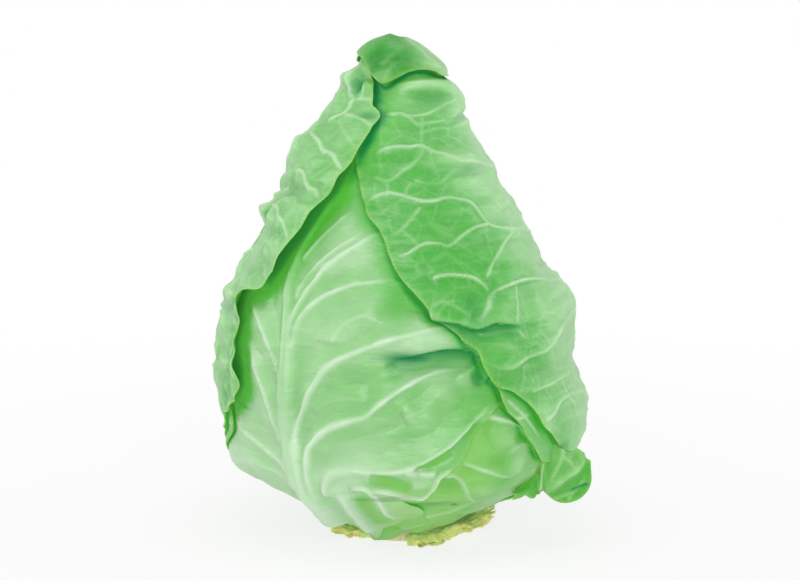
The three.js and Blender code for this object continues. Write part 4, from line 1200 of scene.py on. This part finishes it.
def lower_right():
    grid = rows, count = 71, 151
    root = even_spline(lobe_root, count)
    margin = even_spline(lobe_margin, count)
    s = np.linspace(0, 1, rows)[:, None, None]
    root = at_depth(root, -38 + 0.62 * (root[:, 0] - 58) - 8 * hill(root[:, 0], 65, 5))
    margin = at_depth(margin, -39 + 0.68 * (margin[:, 0] - 58))
    p = root * (1 - s) + margin * s
    normal = np.cross(np.gradient(p, axis=0), np.gradient(p, axis=1))
    normal /= np.linalg.norm(normal, axis=-1, keepdims=True)
    if normal[..., 1].mean() > 0:
        normal = -normal
    flat, n = p.reshape(-1, 3), normal.reshape(-1, 3)
    arch = 3.4 * np.repeat(np.sin(np.pi * (0.12 + 0.8 * s.ravel())), count)
    front = drawn(flat + n * arch[:, None])
    edge = from_border(flat, grid)
    d, along, side = beside_drawn(lobe_ridge, front)
    side = side * np.tanh(d / 0.8)
    ridge = np.exp(-((d / 1.6) ** 2)) * (1 - smooth(along, 0.9, 1.0))
    beyond = front[:, 0] > PARTING
    lobe = smooth(side, -0.1, 0.1) * beyond
    stalk_d, _, _ = beside_drawn(path(61.9, 34.8, 61.3, 29.7, 60.8, 23.6), front)
    stalk = np.exp(-((stalk_d / 0.75) ** 2))
    wave = arch + 1.6 * ridge - 2.4 * lobe * (1 - np.exp(-d / 3.5))
    wave += 1.2 * lobe * np.exp(-edge / 1.8) - 2.4 * np.exp(-((stalk_d / 3.0) ** 2))
    wave += 1.2 * stalk + 0.8 * lumps(flat, 9, 121) - 1.8 * ~beyond * np.exp(-edge / 3)
    crease_d, _, _ = beside_drawn(path(75.2, 23.6, 77.8, 24.9, 80.8, 25.8), front)
    crease = np.exp(-((crease_d / 0.7) ** 2))
    wave -= 0.7 * crease
    vein = 0.0
    for line in [
            path(69.2, 42.6, 68.8, 38.7, 67.5, 34, 64.5, 27.9, 61.9, 24.5),
            path(68.8, 38.3, 72.2, 35.7, 74.8, 32.2),
            path(73.1, 19.4, 74.8, 21.9, 78.3, 26.2, 80.8, 30.5),
            path(67.1, 19.8, 71.4, 21.1, 75.7, 22.8)]:
        vein_d, vein_t, _ = beside_drawn(line, front)
        vein = np.maximum(vein, np.exp(-((vein_d / 0.8) ** 2)) * (1 - smooth(vein_t, 0.6, 1.0)))
    thick = 0.5 + 0.7 * (1 - np.exp(-edge / 4))
    top = wave + thick + 0.4 * vein * (1 - np.exp(-edge / 1.5))
    pale = (1 - lobe) * beyond
    # painted shade on the lobe, on the strip left of it and in the crease; pale wax and painted
    # highlight on the rest
    marks = {"vein": np.clip(0.8 * stalk + 0.5 * vein + 0.35 * ridge, 0, 1),
             "hollow": 0.6 * crease,
             "margin": np.exp(-edge / MARGIN_BAND), "crest": crests(top, grid),
             "bloom_and_highlight": 0.4 * pale * (1 - 0.2 * np.exp(-(d**2))),
             "shade": 0.8 * lobe + 0.6 * ~beyond}
    return closed_sheet("lower_right_leaf", flat + n * top[:, None], flat + n * wave[:, None],
                        grid, marks)


lower_right_leaf = lower_right()

# Each torn stalk's angle, half width in degrees, length, height and how far it is pressed up.
STUBS = [(-50, 12, 11.5, 2.8, 0.6), (20, 12, 7.5, 2.1, 0.4), (50, 13, 14.5, 3.0, 0.65),
         (84, 15, 15, 3.8, 0.75), (124, 16, 9, 3.8, 0.8), (166, 15, 8, 3.2, 0.6),
         (208, 16, 10, 3.6, 0.8), (252, 15, 8, 3.2, 0.6)]


def tube(rings, start, end):
    """Quads and fans that close a stack of rings between two end points."""
    rows, columns = rings
    fine = np.arange(rows * columns).reshape(rows, columns)
    turn = np.roll(fine, -1, 1)
    quads = np.stack([fine[:-1], turn[:-1], turn[1:], fine[1:]], -1).reshape(-1, 4)
    caps = np.concatenate([np.stack([turn[0], fine[0], np.full(columns, start)], -1),
                           np.stack([fine[-1], turn[-1], np.full(columns, end)], -1)])
    return quads, caps


STUB_ROOT = 23.2            # how far from the stem's axis they start


def torn_stub(number, angle, width, length, height, pressed):
    """What is left of an older leaf: a crumpled frill, thick at the stem, ragged where it tore."""
    rows, columns = 34, 72
    v = np.linspace(0, 1, rows)[:, None]
    u = np.linspace(0, 2 * np.pi, columns + 1)[None, :-1]
    across = np.cos(u)
    spot = np.stack([across * 4 + number * 9, 0 * u, 0 * u], -1)
    ragged = 0.92 + 0.22 * noise(spot, 1.3, 7) + 0.14 * noise(spot, 0.4, 8)
    ragged = ragged * (1 - 0.25 * across**4)
    r = STUB_ROOT + (length + 0.5) * v * ragged
    half = (6 + width) * (1 - 0.1 * v**2) * across
    thick = (2.4 - 1.3 * v) * np.sin(u)
    frill = v * (1.1 * noise(spot + [0, 3, 0], 1.1, 9) + 0.6 * noise(spot, 0.45, 10))
    rise = np.maximum(np.interp(r, SKIN[:400, 0], SKIN[:400, 1]) - 0.4 - height, 0)
    z = height + 0.4 + thick + frill + pressed * smooth(v, 0, 0.5) * rise - 3.0 * v**4
    a = np.radians(angle + half)
    p = np.stack([AXIS_X + lean(0) + r * np.sin(a), AXIS_Y - r * np.cos(a) * DEPTH, z], -1)
    p += v[..., None] * np.stack([0.8 * noise(p, 2.6, 131 + k) + 0.3 * noise(p, 1.0, 135 + k)
                                  for k in range(3)], -1)
    p[..., 2] = np.maximum(p[..., 2], 0.15)
    ends = np.stack([p[0].mean(0), p[-1].mean(0)])
    quads, caps = tube((rows, columns), rows * columns, rows * columns + 1)
    marks = {"torn": np.concatenate([np.repeat(v[:, 0], columns), [0.0, 1.0]])}
    points = np.concatenate([p.reshape(-1, 3), ends])
    return solid(f"stalk_stub_{number}", points, quads[:, ::-1], caps[:, ::-1], marks)


stubs = [torn_stub(k + 1, *size) for k, size in enumerate(STUBS)]


def turned_piece(name, profile, columns, relief, marks=None):
    """A body turned round the stem's axis, with a relief of angle and height on it."""
    line = np.array(profile, float)
    rows = len(line)
    a = np.linspace(0, 2 * np.pi, columns + 1)[None, :-1]
    r = line[:, :1] + 0 * a
    z = line[:, 1:] + 0 * a
    dr, dz = relief(a, r, z)
    r, z = r + dr, z + dz
    p = np.stack([AXIS_X + lean(z) + r * np.sin(a), AXIS_Y - DEPTH * r * np.cos(a), z], -1)
    ends = np.array([[AXIS_X + lean(z[0].mean()), AXIS_Y, z[0].mean()],
                     [AXIS_X + lean(z[-1].mean()), AXIS_Y, z[-1].mean()]])
    quads, caps = tube((rows, columns), rows * columns, rows * columns + 1)
    points = np.concatenate([p.reshape(-1, 3), ends])
    marks = {key: mark(points) for key, mark in (marks or {}).items()}
    return solid(name, points, quads, caps, marks)


stem_profile = [(0.6, 0.0), (5, 0.0), (10, 0.0), (15, 0.0), (19, 0.0), (20.6, 0.1), (21.4, 0.5),
                (22.2, 1.6), (22.6, 3.2), (22.4, 5.5), (21.6, 8), (20.4, 11), (17, 30), (12, 58),
                (7, 70), (0.6, 73.5)]


def stem_relief(a, r, z):
    ring = smooth(r, 17, 22) * (1 - smooth(z, 9, 14))
    p = np.stack([r * np.sin(a), r * np.cos(a), z], -1)
    return ring * (0.3 * np.sin(5 * a + 1) + 0.35 * lumps(p, 5, 141)), 0 * a


def cut_round(points):
    """Where the knife left fibres: just over the cut face."""
    out = np.hypot(points[:, 0] - AXIS_X, points[:, 1])
    return hill(points[:, 2], 2.4, 1.6) * smooth(out, 19, 21)


stem = turned_piece("stem", stem_profile, 96, stem_relief, {"torn": cut_round})

heart_rows = [(23.6, 8.2), (26, 7.6), (30, 8.6), (34, 11.4), (39, 15.4)]
heart_rows += [(np.interp(h, SKIN[:, 1], SKIN[:, 0]) - 0.8, h) for h in (
    22, 26, 31, 36, 42, 50, 60, *range(72, 193, 12), 200, 204.5)]


def heart_relief(a, r, z):
    low = 1 - smooth(z, 20, 50)
    wave = 0.5 * np.sin(7 * a + 0.6) + 0.4 * np.sin(11 * a + 2)
    above = smooth(z, 9, 14)
    return low * 0.4 * wave * above, 0.5 * wave * (1 - above) * smooth(r, 25, 29)


heart = turned_piece("heart", heart_rows, 144, heart_relief)


# ------------------------------------------------------------------------ finishes

def colour(r, g, b):
    """A screen colour, 0 to 255, as the shader's numbers."""
    return tuple(c / 12.92 if c <= 0.04045 else ((c + 0.055) / 1.055) ** 2.4
                 for c in (r / 255, g / 255, b / 255)) + (1.0,)


# painted shade: deep teal in creases and where leaves meet, deeper green beside another leaf; the
# yellow green of young leaf, also used as painted shade in troughs
HOLLOW_PAINTED_SHADE = colour(0, 122, 70)
SHADE = colour(68, 172, 36)
RIM = colour(172, 208, 112)
TENDER_AND_TROUGH_SHADE = (0.3, 0.62, 0.1, 1)
BLACK, WHITE = (0, 0, 0, 1), (1, 1, 1, 1)


class Wire:
    """A node's output, with sums that add Math nodes."""

    def __init__(self, finish, socket):
        self.finish, self.socket = finish, socket

    def __getitem__(self, name):
        return Wire(self.finish, self.socket.node.outputs[name])

    def sum(self, operation, *others):
        return self.finish.add("ShaderNodeMath", {"operation": operation},
                               {k: v for k, v in enumerate((self, *others))})

    def __add__(self, other):
        return self.sum("ADD", other)

    def __sub__(self, other):
        return self.sum("SUBTRACT", other)

    def __rsub__(self, other):
        return self.finish.add("ShaderNodeMath", {"operation": "SUBTRACT"}, {0: other, 1: self})

    def __mul__(self, other):
        return self.sum("MULTIPLY", other)

    __radd__ = __add__
    __rmul__ = __mul__

    def within(self, low, high, to_low=0.0, to_high=1.0):
        """Eased from one range to another."""
        return self.finish.add(
            "ShaderNodeMapRange", {"interpolation_type": "SMOOTHSTEP"},
            {"Value": self, "From Min": low, "From Max": high, "To Min": to_low, "To Max": to_high})


class Finish:
    """A material and the way to add nodes to it."""

    def __init__(self, name, tree=None):
        if tree is None:
            self.material = bpy.data.materials.new(name)
            self.material.use_nodes = True
            tree = self.material.node_tree
        self.tree = tree
        self.tree.nodes.clear()

    def add(self, kind, settings=None, sockets=None):
        node = self.tree.nodes.new(kind)
        for key, value in (settings or {}).items():
            setattr(node, key, value)
        for key, value in (sockets or {}).items():
            socket = node.inputs[key]
            if isinstance(value, Wire):
                self.tree.links.new(value.socket, socket)
            else:
                socket.default_value = value
        shown = [s for s in node.outputs if s.enabled]
        return Wire(self, shown[0] if shown else None) if node.outputs else node

    def mark(self, name):
        """A mark kept on the mesh's points."""
        return self.add("ShaderNodeAttribute", {"attribute_name": name})["Fac"]

    def blend(self, factor, first, second):
        return self.add("ShaderNodeMix", {"data_type": "RGBA"}, {0: factor, 6: first, 7: second})

    def lumps(self, place, scale, detail=2.0, rough=0.5):
        return self.add("ShaderNodeTexNoise", None, {"Vector": place, "Scale": scale,
                                                     "Detail": detail, "Roughness": rough})["Fac"]

    def edges(self, place, scale):
        """Distance to the edges of scattered cells."""
        return self.add("ShaderNodeTexVoronoi", {"feature": "DISTANCE_TO_EDGE"},
                        {"Vector": place, "Scale": scale})["Distance"]

    def surface(self, shader):
        """Ends the material, and hands it over."""
        self.add("ShaderNodeOutputMaterial", None, {"Surface": shader})
        return self.material


def leaf_finish(name, blade, deep, wax, rib, rim=RIM, net=0.05, shine=0.5):
    """Cabbage leaf: green blade with pale wax and painted highlight on its crests, paler raised
    veins with finer ones between, painted shade in its hollows and as deep green beside another
    leaf, a painted glow where one lies over it, and a thin margin."""
    f = Finish(name)
    place = f.add("ShaderNodeTexCoord")["Object"]
    wander = f.add("ShaderNodeTexNoise", None,
                   {"Vector": place, "Scale": 90.0, "Detail": 2.0})["Color"]
    bent = f.add("ShaderNodeVectorMath", {"operation": "MULTIPLY_ADD"},
                 {0: wander, 1: (0.004, 0.004, 0.004), 2: place})
    small, tiny = f.edges(bent, 170.0), f.edges(bent, 480.0)
    broad, patch = f.lumps(place, 30.0, 3.0), f.lumps(place, 150.0, 3.0)
    grain = f.lumps(place, 1500.0, 2.0)
    vein, crest, margin = f.mark("vein"), f.mark("crest"), f.mark("margin")
    small_vein, tiny_vein = small.within(0.0, 0.12, 1.0, 0.0), tiny.within(0.0, 0.12, 1.0, 0.0)

    # painted shade and painted highlight: deeper green in hollows, pale wax and painted highlight
    # on crests and in patches
    skin = f.blend(crest.within(0.5, 0.05), blade, deep)
    wax_and_highlight_amount = crest.within(0.55, 1.0) * 0.28 + broad.within(0.42, 0.75) * 0.12 + f.mark("bloom_and_highlight") * 0.62
    drawn_out = f.add("ShaderNodeMapping", None, {"Vector": place, "Scale": (0.4, 0.4, 1.6)})
    streaks = f.lumps(drawn_out, 260.0, 4.0, 0.6)
    wax_and_highlight_amount = (wax_and_highlight_amount + streaks.within(0.5, 0.75) * 0.15).sum("MINIMUM", 0.85)
    skin = f.blend(wax_and_highlight_amount, skin, wax)
    skin = f.blend(small_vein * net + tiny_vein * (0.45 * net), skin, wax)
    skin = f.blend(f.mark("shade") * 0.9, skin, SHADE)
    skin = f.blend(f.mark("tender_and_trough_shade") * 0.5, skin, TENDER_AND_TROUGH_SHADE)
    skin = f.blend(vein * 0.9, skin, rib)
    # painted shade: deep teal in creases and along contact lines
    skin = f.blend(f.mark("hollow") * 0.85, skin, HOLLOW_PAINTED_SHADE)
    skin = f.blend(margin * 0.6, skin, rim)

    height = small_vein * net + tiny_vein * (0.6 * net) + patch * 0.5 + streaks * 0.7 + grain * 0.05
    bump = f.add("ShaderNodeBump", None, {"Strength": 0.8, "Distance": 0.0007, "Height": height})
    # painted light: the leaf glows green where another leaf lies over it, and dark teal in its
    # painted hollows
    through = f.blend(f.mark("glow"), BLACK, colour(84, 166, 60))
    through = f.blend(f.mark("hollow"), through, colour(0, 92, 50))
    shader = f.add("ShaderNodeBsdfPrincipled", None, {
        "Base Color": skin, "Roughness": patch * 0.14 + 0.29, "Normal": bump,
        "Emission Color": through, "Emission Strength": 0.6,
        "IOR": 1.6, "Specular IOR Level": shine, "Sheen Weight": 0.06, "Sheen Roughness": 0.5,
        "Subsurface Weight": 0.3, "Subsurface Radius": (0.3, 1.0, 0.2), "Subsurface Scale": 0.0025})
    # painted shade: a dull dark teal surface mixed in over the hollows
    painted_shade_shader = f.add("ShaderNodeBsdfPrincipled", None, {
        "Base Color": HOLLOW_PAINTED_SHADE, "Roughness": 0.8, "Specular IOR Level": 0.0, "Normal": bump})
    return f.surface(f.add("ShaderNodeMixShader", None, {
        0: f.mark("hollow") * 0.9, 1: shader, 2: painted_shade_shader}))


def stem_finish(name, green, cut, fibre):
    """The pale stem, its cut face drier and browner with rings of fibre ends."""
    f = Finish(name)
    place = f.add("ShaderNodeTexCoord")["Object"]
    parts = f.add("ShaderNodeSeparateXYZ", None, {0: place})
    low = parts["Z"].within(0.0006, 0.004, 1.0, 0.0)
    dots = f.add("ShaderNodeTexVoronoi", None, {"Vector": place, "Scale": 420.0})["Distance"]
    streak = f.add("ShaderNodeMapping", None, {"Vector": place, "Scale": (1.0, 1.0, 0.12)})
    lines = f.lumps(streak, 620.0, 3.0)
    blot = f.lumps(place, 120.0, 3.0)
    skin = f.blend(lines.within(0.35, 0.7), green, cut)
    face = f.blend(dots.within(0.18, 0.34, 1.0, 0.0), cut, fibre)
    skin = f.blend(low, skin, face)
    skin = f.blend(blot.within(0.55, 0.75, 0.0, 0.4), skin, fibre)
    bump = f.add("ShaderNodeBump", None, {"Strength": 0.5, "Distance": 0.0004,
                                         "Height": lines * 0.6 + dots * 0.4})
    shader = f.add("ShaderNodeBsdfPrincipled", None, {
        "Base Color": skin, "Roughness": blot * 0.2 + 0.5, "Normal": bump,
        "Subsurface Weight": 0.12, "Subsurface Radius": (1.0, 0.9, 0.4), "Subsurface Scale": 0.002})
    return f.surface(shader)


def stub_finish(name, base, tip, dry):
    """Torn stalk: pale green at the stem, yellow and then dry brown where it tore."""
    f = Finish(name)
    place = f.add("ShaderNodeTexCoord")["Object"]
    torn = f.mark("torn")
    lines = f.lumps(place, 900.0, 3.0)
    blot = f.lumps(place, 300.0, 3.0)
    skin = f.blend(torn.within(0.1, 0.7), base, tip)
    skin = f.blend((torn.within(0.6, 1.0) * blot.within(0.4, 0.65)), skin, dry)
    bump = f.add("ShaderNodeBump", None, {"Strength": 0.6, "Distance": 0.0005,
                                         "Height": lines * 0.5 + blot})
    # painted light: the stalk glows a little in its own colour
    shader = f.add("ShaderNodeBsdfPrincipled", None, {
        "Base Color": skin, "Roughness": blot * 0.2 + 0.42, "Normal": bump,
        "Emission Color": skin, "Emission Strength": 0.12,
        "Subsurface Weight": 0.2, "Subsurface Radius": (1.0, 0.9, 0.4), "Subsurface Scale": 0.002})
    return f.surface(shader)


front_skin = leaf_finish("front_leaf_skin", colour(94, 182, 72), colour(76, 174, 52),
                         colour(180, 214, 172), colour(204, 226, 200), net=0.04)
outer_skin = leaf_finish("outer_leaf_skin", colour(58, 166, 38), colour(44, 156, 24),
                         colour(168, 216, 156), colour(196, 224, 186))
tip_skin = leaf_finish("tip_leaf_skin", colour(36, 148, 24), colour(26, 136, 14),
                       colour(166, 212, 152), colour(130, 194, 112), colour(150, 200, 104),
                       net=0.06, shine=0.2)
lobe_skin = leaf_finish("lobe_skin", colour(64, 168, 36), colour(50, 158, 26),
                        colour(150, 206, 130), colour(172, 216, 152), net=0.06, shine=0.3)
cut_skin = stem_finish("cut_stem_skin", colour(206, 222, 164), colour(226, 220, 172),
                       colour(186, 164, 104))
torn_skin = stub_finish("torn_stalk_skin", colour(198, 226, 142), colour(204, 224, 134),
                        colour(226, 206, 134))

# Painted shade and painted glow where another leaf's margin lies over a leaf: how far in from each
# leaf's margin they reach.
OVERHANG = {"left_leaf": 7.0, "right_leaf": 5.0, "tip_leaf": 3.0, "front_leaf": 2.0,
            "back_leaf": 4.0}
OTHER_OVERHANG = 2.5
UNDERSIDE = 0.7             # how much painted shade and painted glow an inner face has


def shaded(piece, relief, tops, later):
    """Painted shade, glow and dark lines where later leaves cover this one or stand close over it.
    """
    bare, angle, height = relief.bare, relief.angle, relief.height
    # the left leaf stands off the head except near its tip, the right leaf only below its pleat
    touch = {"left_leaf": smooth(height, 150, 170),
             "right_leaf": 0.35 + 0.55 * hill(height, 90, 20)}
    rise = cover.under(angle, height, 1) - cover.under(angle, height, 1, tops)
    covered = smooth(rise, 0.3, 0.8)
    shade = np.maximum(relief.shade, covered)
    depth = np.full(len(bare), 99.0)
    glow, contact = np.zeros(len(bare)), np.zeros(len(bare))
    for other, rim in later:
        near = OVERHANG.get(other, OTHER_OVERHANG) * (0.55 + 0.45 * smooth(height, 90, 120))
        d, _ = nearest(bare, rim)
        shade = np.maximum(shade, np.exp(-((d / near) ** 2)))
        glow = np.maximum(glow, 0.5 * np.exp(-((d / (0.6 * near)) ** 2)))
        close = 0.8 * touch.get(other, 1.0) * np.exp(-((d / (0.3 * near)) ** 2))
        contact = np.maximum(contact, close)
        depth = np.minimum(depth, d)
    covered = covered * smooth(depth, 0.5, 3.0)
    glow = np.maximum(glow, covered * np.exp(-depth / 6))
    # painted shade: a gap shows as a dark line further in where the head turns away
    seen_under = np.maximum(4.5 * np.tan(np.radians(np.minimum(np.abs(angle), 72))), 2.5)
    gap_line = smooth(depth, 0.3 * seen_under, 1.2 * seen_under)
    contact = np.maximum(contact, 0.36 * covered * gap_line)
    mesh = piece.data
    inner = len(mesh.vertices) - len(bare)
    for key, values in (("shade", shade), ("glow", glow)):
        layer = mesh.attributes.new(key, "FLOAT", "POINT")
        values = np.append(values, np.full(inner, UNDERSIDE))
        layer.data.foreach_set("value", values.astype(np.float32))
    hollow = np.empty(len(mesh.vertices), np.float32)
    mesh.attributes["hollow"].data.foreach_get("value", hollow)
    hollow[:len(bare)] = np.maximum(hollow[:len(bare)], contact)
    mesh.attributes["hollow"].data.foreach_set("value", hollow)


tip_rim = tip_relief.bare.reshape(*tip_angle.shape, 3)[0]
rims = [(name, rim) for name, _, _, rim, _ in laid] + [("tip_leaf", tip_rim)]
for k, (_, piece, relief, _, tops) in enumerate(laid):
    shaded(piece, relief, tops, rims[k + 1:])

# ------------------------------------------------------------------------ torn fibres

fibres = bpy.data.node_groups.new("torn_fibres", "GeometryNodeTree")
for kind, name in [("Geometry", "Body"), ("Float", "Fibres per square metre"), ("Float", "Length"),
                   ("Float", "Thickness"), ("Material", "Skin")]:
    fibres.interface.new_socket(name, in_out="INPUT", socket_type="NodeSocket" + kind)
fibres.interface.new_socket("Body", in_out="OUTPUT", socket_type="NodeSocketGeometry")


def grow_fibres():
    """Short bristles that point out from the stem's axis, where the body's mark says it tore."""
    f = Finish("torn_fibres", fibres)
    sizes = f.add("NodeGroupInput")
    torn = f.add("GeometryNodeInputNamedAttribute", {"data_type": "FLOAT"}, {"Name": "torn"})
    spots = f.add("GeometryNodeDistributePointsOnFaces", None, {
        "Mesh": sizes["Body"], "Seed": 7,
        "Density": torn.within(0.7, 0.95) * sizes["Fibres per square metre"]})
    bristle = f.add("GeometryNodeMeshCone", None, {
        "Vertices": 5, "Side Segments": 3, "Radius Top": sizes["Thickness"] * 0.2,
        "Radius Bottom": sizes["Thickness"], "Depth": sizes["Length"]})
    outwards = f.add("ShaderNodeVectorMath", {"operation": "MULTIPLY"},
                     {0: f.add("GeometryNodeInputPosition"), 1: (1.0, 1.0, 0.0)})
    turned = f.add("FunctionNodeAlignRotationToVector", {"axis": "Z"}, {"Vector": outwards})
    stray = f.add("FunctionNodeRandomValue", {"data_type": "FLOAT_VECTOR"},
                  {"Min": (-0.5, -0.5, 0.0), "Max": (0.5, 0.5, 0.0), "Seed": 3})
    turned = f.add("FunctionNodeRotateRotation", {"rotation_space": "LOCAL"}, {
        "Rotation": turned,
        "Rotate By": f.add("FunctionNodeEulerToRotation", None, {"Euler": stray})})
    grown = f.add("FunctionNodeRandomValue", {"data_type": "FLOAT"}, {2: 0.4, 3: 1.2, "Seed": 5})
    bristles = f.add("GeometryNodeInstanceOnPoints", None, {
        "Points": spots, "Instance": bristle, "Rotation": turned, "Scale": grown})
    both = f.add("GeometryNodeJoinGeometry")
    for part in (sizes["Body"], bristles):
        fibres.links.new(part.socket, both.socket.node.inputs[0])
    real = f.add("GeometryNodeRealizeInstances", None, {"Geometry": both})
    skinned = f.add("GeometryNodeSetMaterial", None, {"Geometry": real, "Material": sizes["Skin"]})
    f.add("NodeGroupOutput", None, {"Body": skinned})


FLOOR_CLEAR = 0.00002       # how far off the floor the lowest fibre ends, in metres


def with_fibres(piece, density, length, thickness, skin):
    """Gives the piece its bristles, as one plain mesh."""
    sizes = {"Fibres per square metre": density, "Length": length, "Thickness": thickness,
             "Skin": skin}
    modifier = piece.modifiers.new("fibres", "NODES")
    modifier.node_group = fibres
    for socket in fibres.interface.items_tree:
        if socket.in_out == "INPUT" and socket.name in sizes:
            modifier[socket.identifier] = sizes[socket.name]
    view = bpy.context.evaluated_depsgraph_get()
    mesh = bpy.data.meshes.new_from_object(piece.evaluated_get(view), depsgraph=view)
    for vertex in mesh.vertices:
        vertex.co.z = max(vertex.co.z, FLOOR_CLEAR)
    piece.modifiers.remove(modifier)
    piece.data = mesh


grow_fibres()
for stub in stubs:
    with_fibres(stub, 1.2e6, 0.0014, 0.00013, torn_skin)
with_fibres(stem, 0.8e6, 0.0011, 0.00014, cut_skin)

# ------------------------------------------------------------------------ the pieces

pieces = [
    (heart, "heart", "leaves", front_skin),
    (lower_front_leaf, "lower_front_leaf", "blade", front_skin),
    (front_leaf, "front_leaf", "blade", front_skin),
    (left_under_leaf, "left_under_leaf", "blade", outer_skin),
    (right_under_leaf, "right_under_leaf", "blade", outer_skin),
    (right_leaf, "right_leaf", "blade", outer_skin), (left_leaf, "left_leaf", "blade", outer_skin),
    (tip_leaf, "tip_leaf", "hood", tip_skin), (back_leaf, "back_leaf", "blade", outer_skin),
    (lower_right_leaf, "lower_right_leaf", "lobe", lobe_skin), (stem, "stem", "cut", cut_skin)]
pieces += [(stub, f"stalk_stub_{k + 1}", "frill", torn_skin) for k, stub in enumerate(stubs)]

slots = {row["node"]: row["material_slot"] for row in frame["record"]["subparts"]}
for piece, node, form, skin in pieces:
    piece.name = piece.data.name = f"{node}_{form}"
    if not len(piece.data.materials):
        piece.data.materials.append(skin)
    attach(piece, "root")
    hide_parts(node)
    slots[node]

# ------------------------------------------------------------------------ floor, light, camera

FLOOR = 6                   # half its width, in metres
floor_mesh = bpy.data.meshes.new("floor")
floor_mesh.from_pydata([(x * FLOOR, y * FLOOR, 0) for x, y in ((-1, -1), (1, -1), (1, 1), (-1, 1))],
                       [], [(0, 1, 2, 3)])
floor = bpy.data.objects.new("floor", floor_mesh)
bpy.context.scene.collection.objects.link(floor)

floor_finish = Finish("floor_white")
ray = floor_finish.add("ShaderNodeLightPath")
ground = floor_finish.add("ShaderNodeTexCoord")["Object"]
away = floor_finish.add("ShaderNodeVectorMath", {"operation": "LENGTH"}, {0: ground})["Value"]
shade = floor_finish.add("ShaderNodeBsdfDiffuse", None, {"Color": (0.9, 0.9, 0.9, 1)})
glow = floor_finish.add("ShaderNodeEmission", None, {"Color": WHITE, "Strength": 1.0})
mixed = floor_finish.add("ShaderNodeMixShader", None, {
    0: ray["Is Camera Ray"] * (away.within(0.08, 0.5, 0.8, 1.0) - 0.4) + 0.4, 1: shade, 2: glow})
floor_mesh.materials.append(floor_finish.surface(mixed))

world = bpy.data.worlds.new("studio")
bpy.context.scene.world = world
world.use_nodes = True
sky = Finish("studio", world.node_tree)
rays = sky.add("ShaderNodeLightPath")
direct = rays["Is Camera Ray"].sum("MAXIMUM", rays["Is Glossy Ray"]).sum(
    "MAXIMUM", rays["Is Transmission Ray"])
white = sky.add("ShaderNodeBackground", None, {"Color": WHITE, "Strength": 1.0})
fill = sky.add("ShaderNodeBackground", None, {"Color": WHITE, "Strength": 0.5})
sky.add("ShaderNodeOutputWorld", None, {
    "Surface": sky.add("ShaderNodeMixShader", None, {0: direct, 1: fill, 2: white})})


def panel(name, place, aim, size, watts):
    """A soft square lamp turned to a point."""
    data = bpy.data.lights.new(name, "AREA")
    data.shape = "SQUARE"
    data.size = size
    data.energy = watts
    lamp = bpy.data.objects.new(name, data)
    lamp.location = place
    lamp.rotation_euler = (Vector(aim) - Vector(place)).to_track_quat("-Z", "Y").to_euler()
    bpy.context.scene.collection.objects.link(lamp)


CENTRE = (0, 0, 0.1)
panel("overhead", (-0.1, -0.25, 1.3), CENTRE, 0.9, 4.6)
panel("left_side", (-1.1, 0.15, 0.45), CENTRE, 0.8, 3.2)
panel("right_side", (1.1, 0.15, 0.45), CENTRE, 0.8, 3.2)
panel("front", (-0.05, -1.7, 0.55), CENTRE, 1.3, 5.4)
panel("low_front", (0.1, -1.4, 0.12), (0, 0, 0.03), 0.7, 6.5)

scene = bpy.context.scene
scene.view_settings.view_transform = "Standard"
camera_data = bpy.data.cameras.new("camera")
camera_data.lens = LENS
camera_data.sensor_width = SENSOR
camera_data.clip_end = 20
camera = bpy.data.objects.new("camera", camera_data)
camera.location = tuple(EYE * MM)
camera.rotation_euler = (math.pi / 2 - ELEVATION, 0, 0)
scene.collection.objects.link(camera)
scene.camera = camera
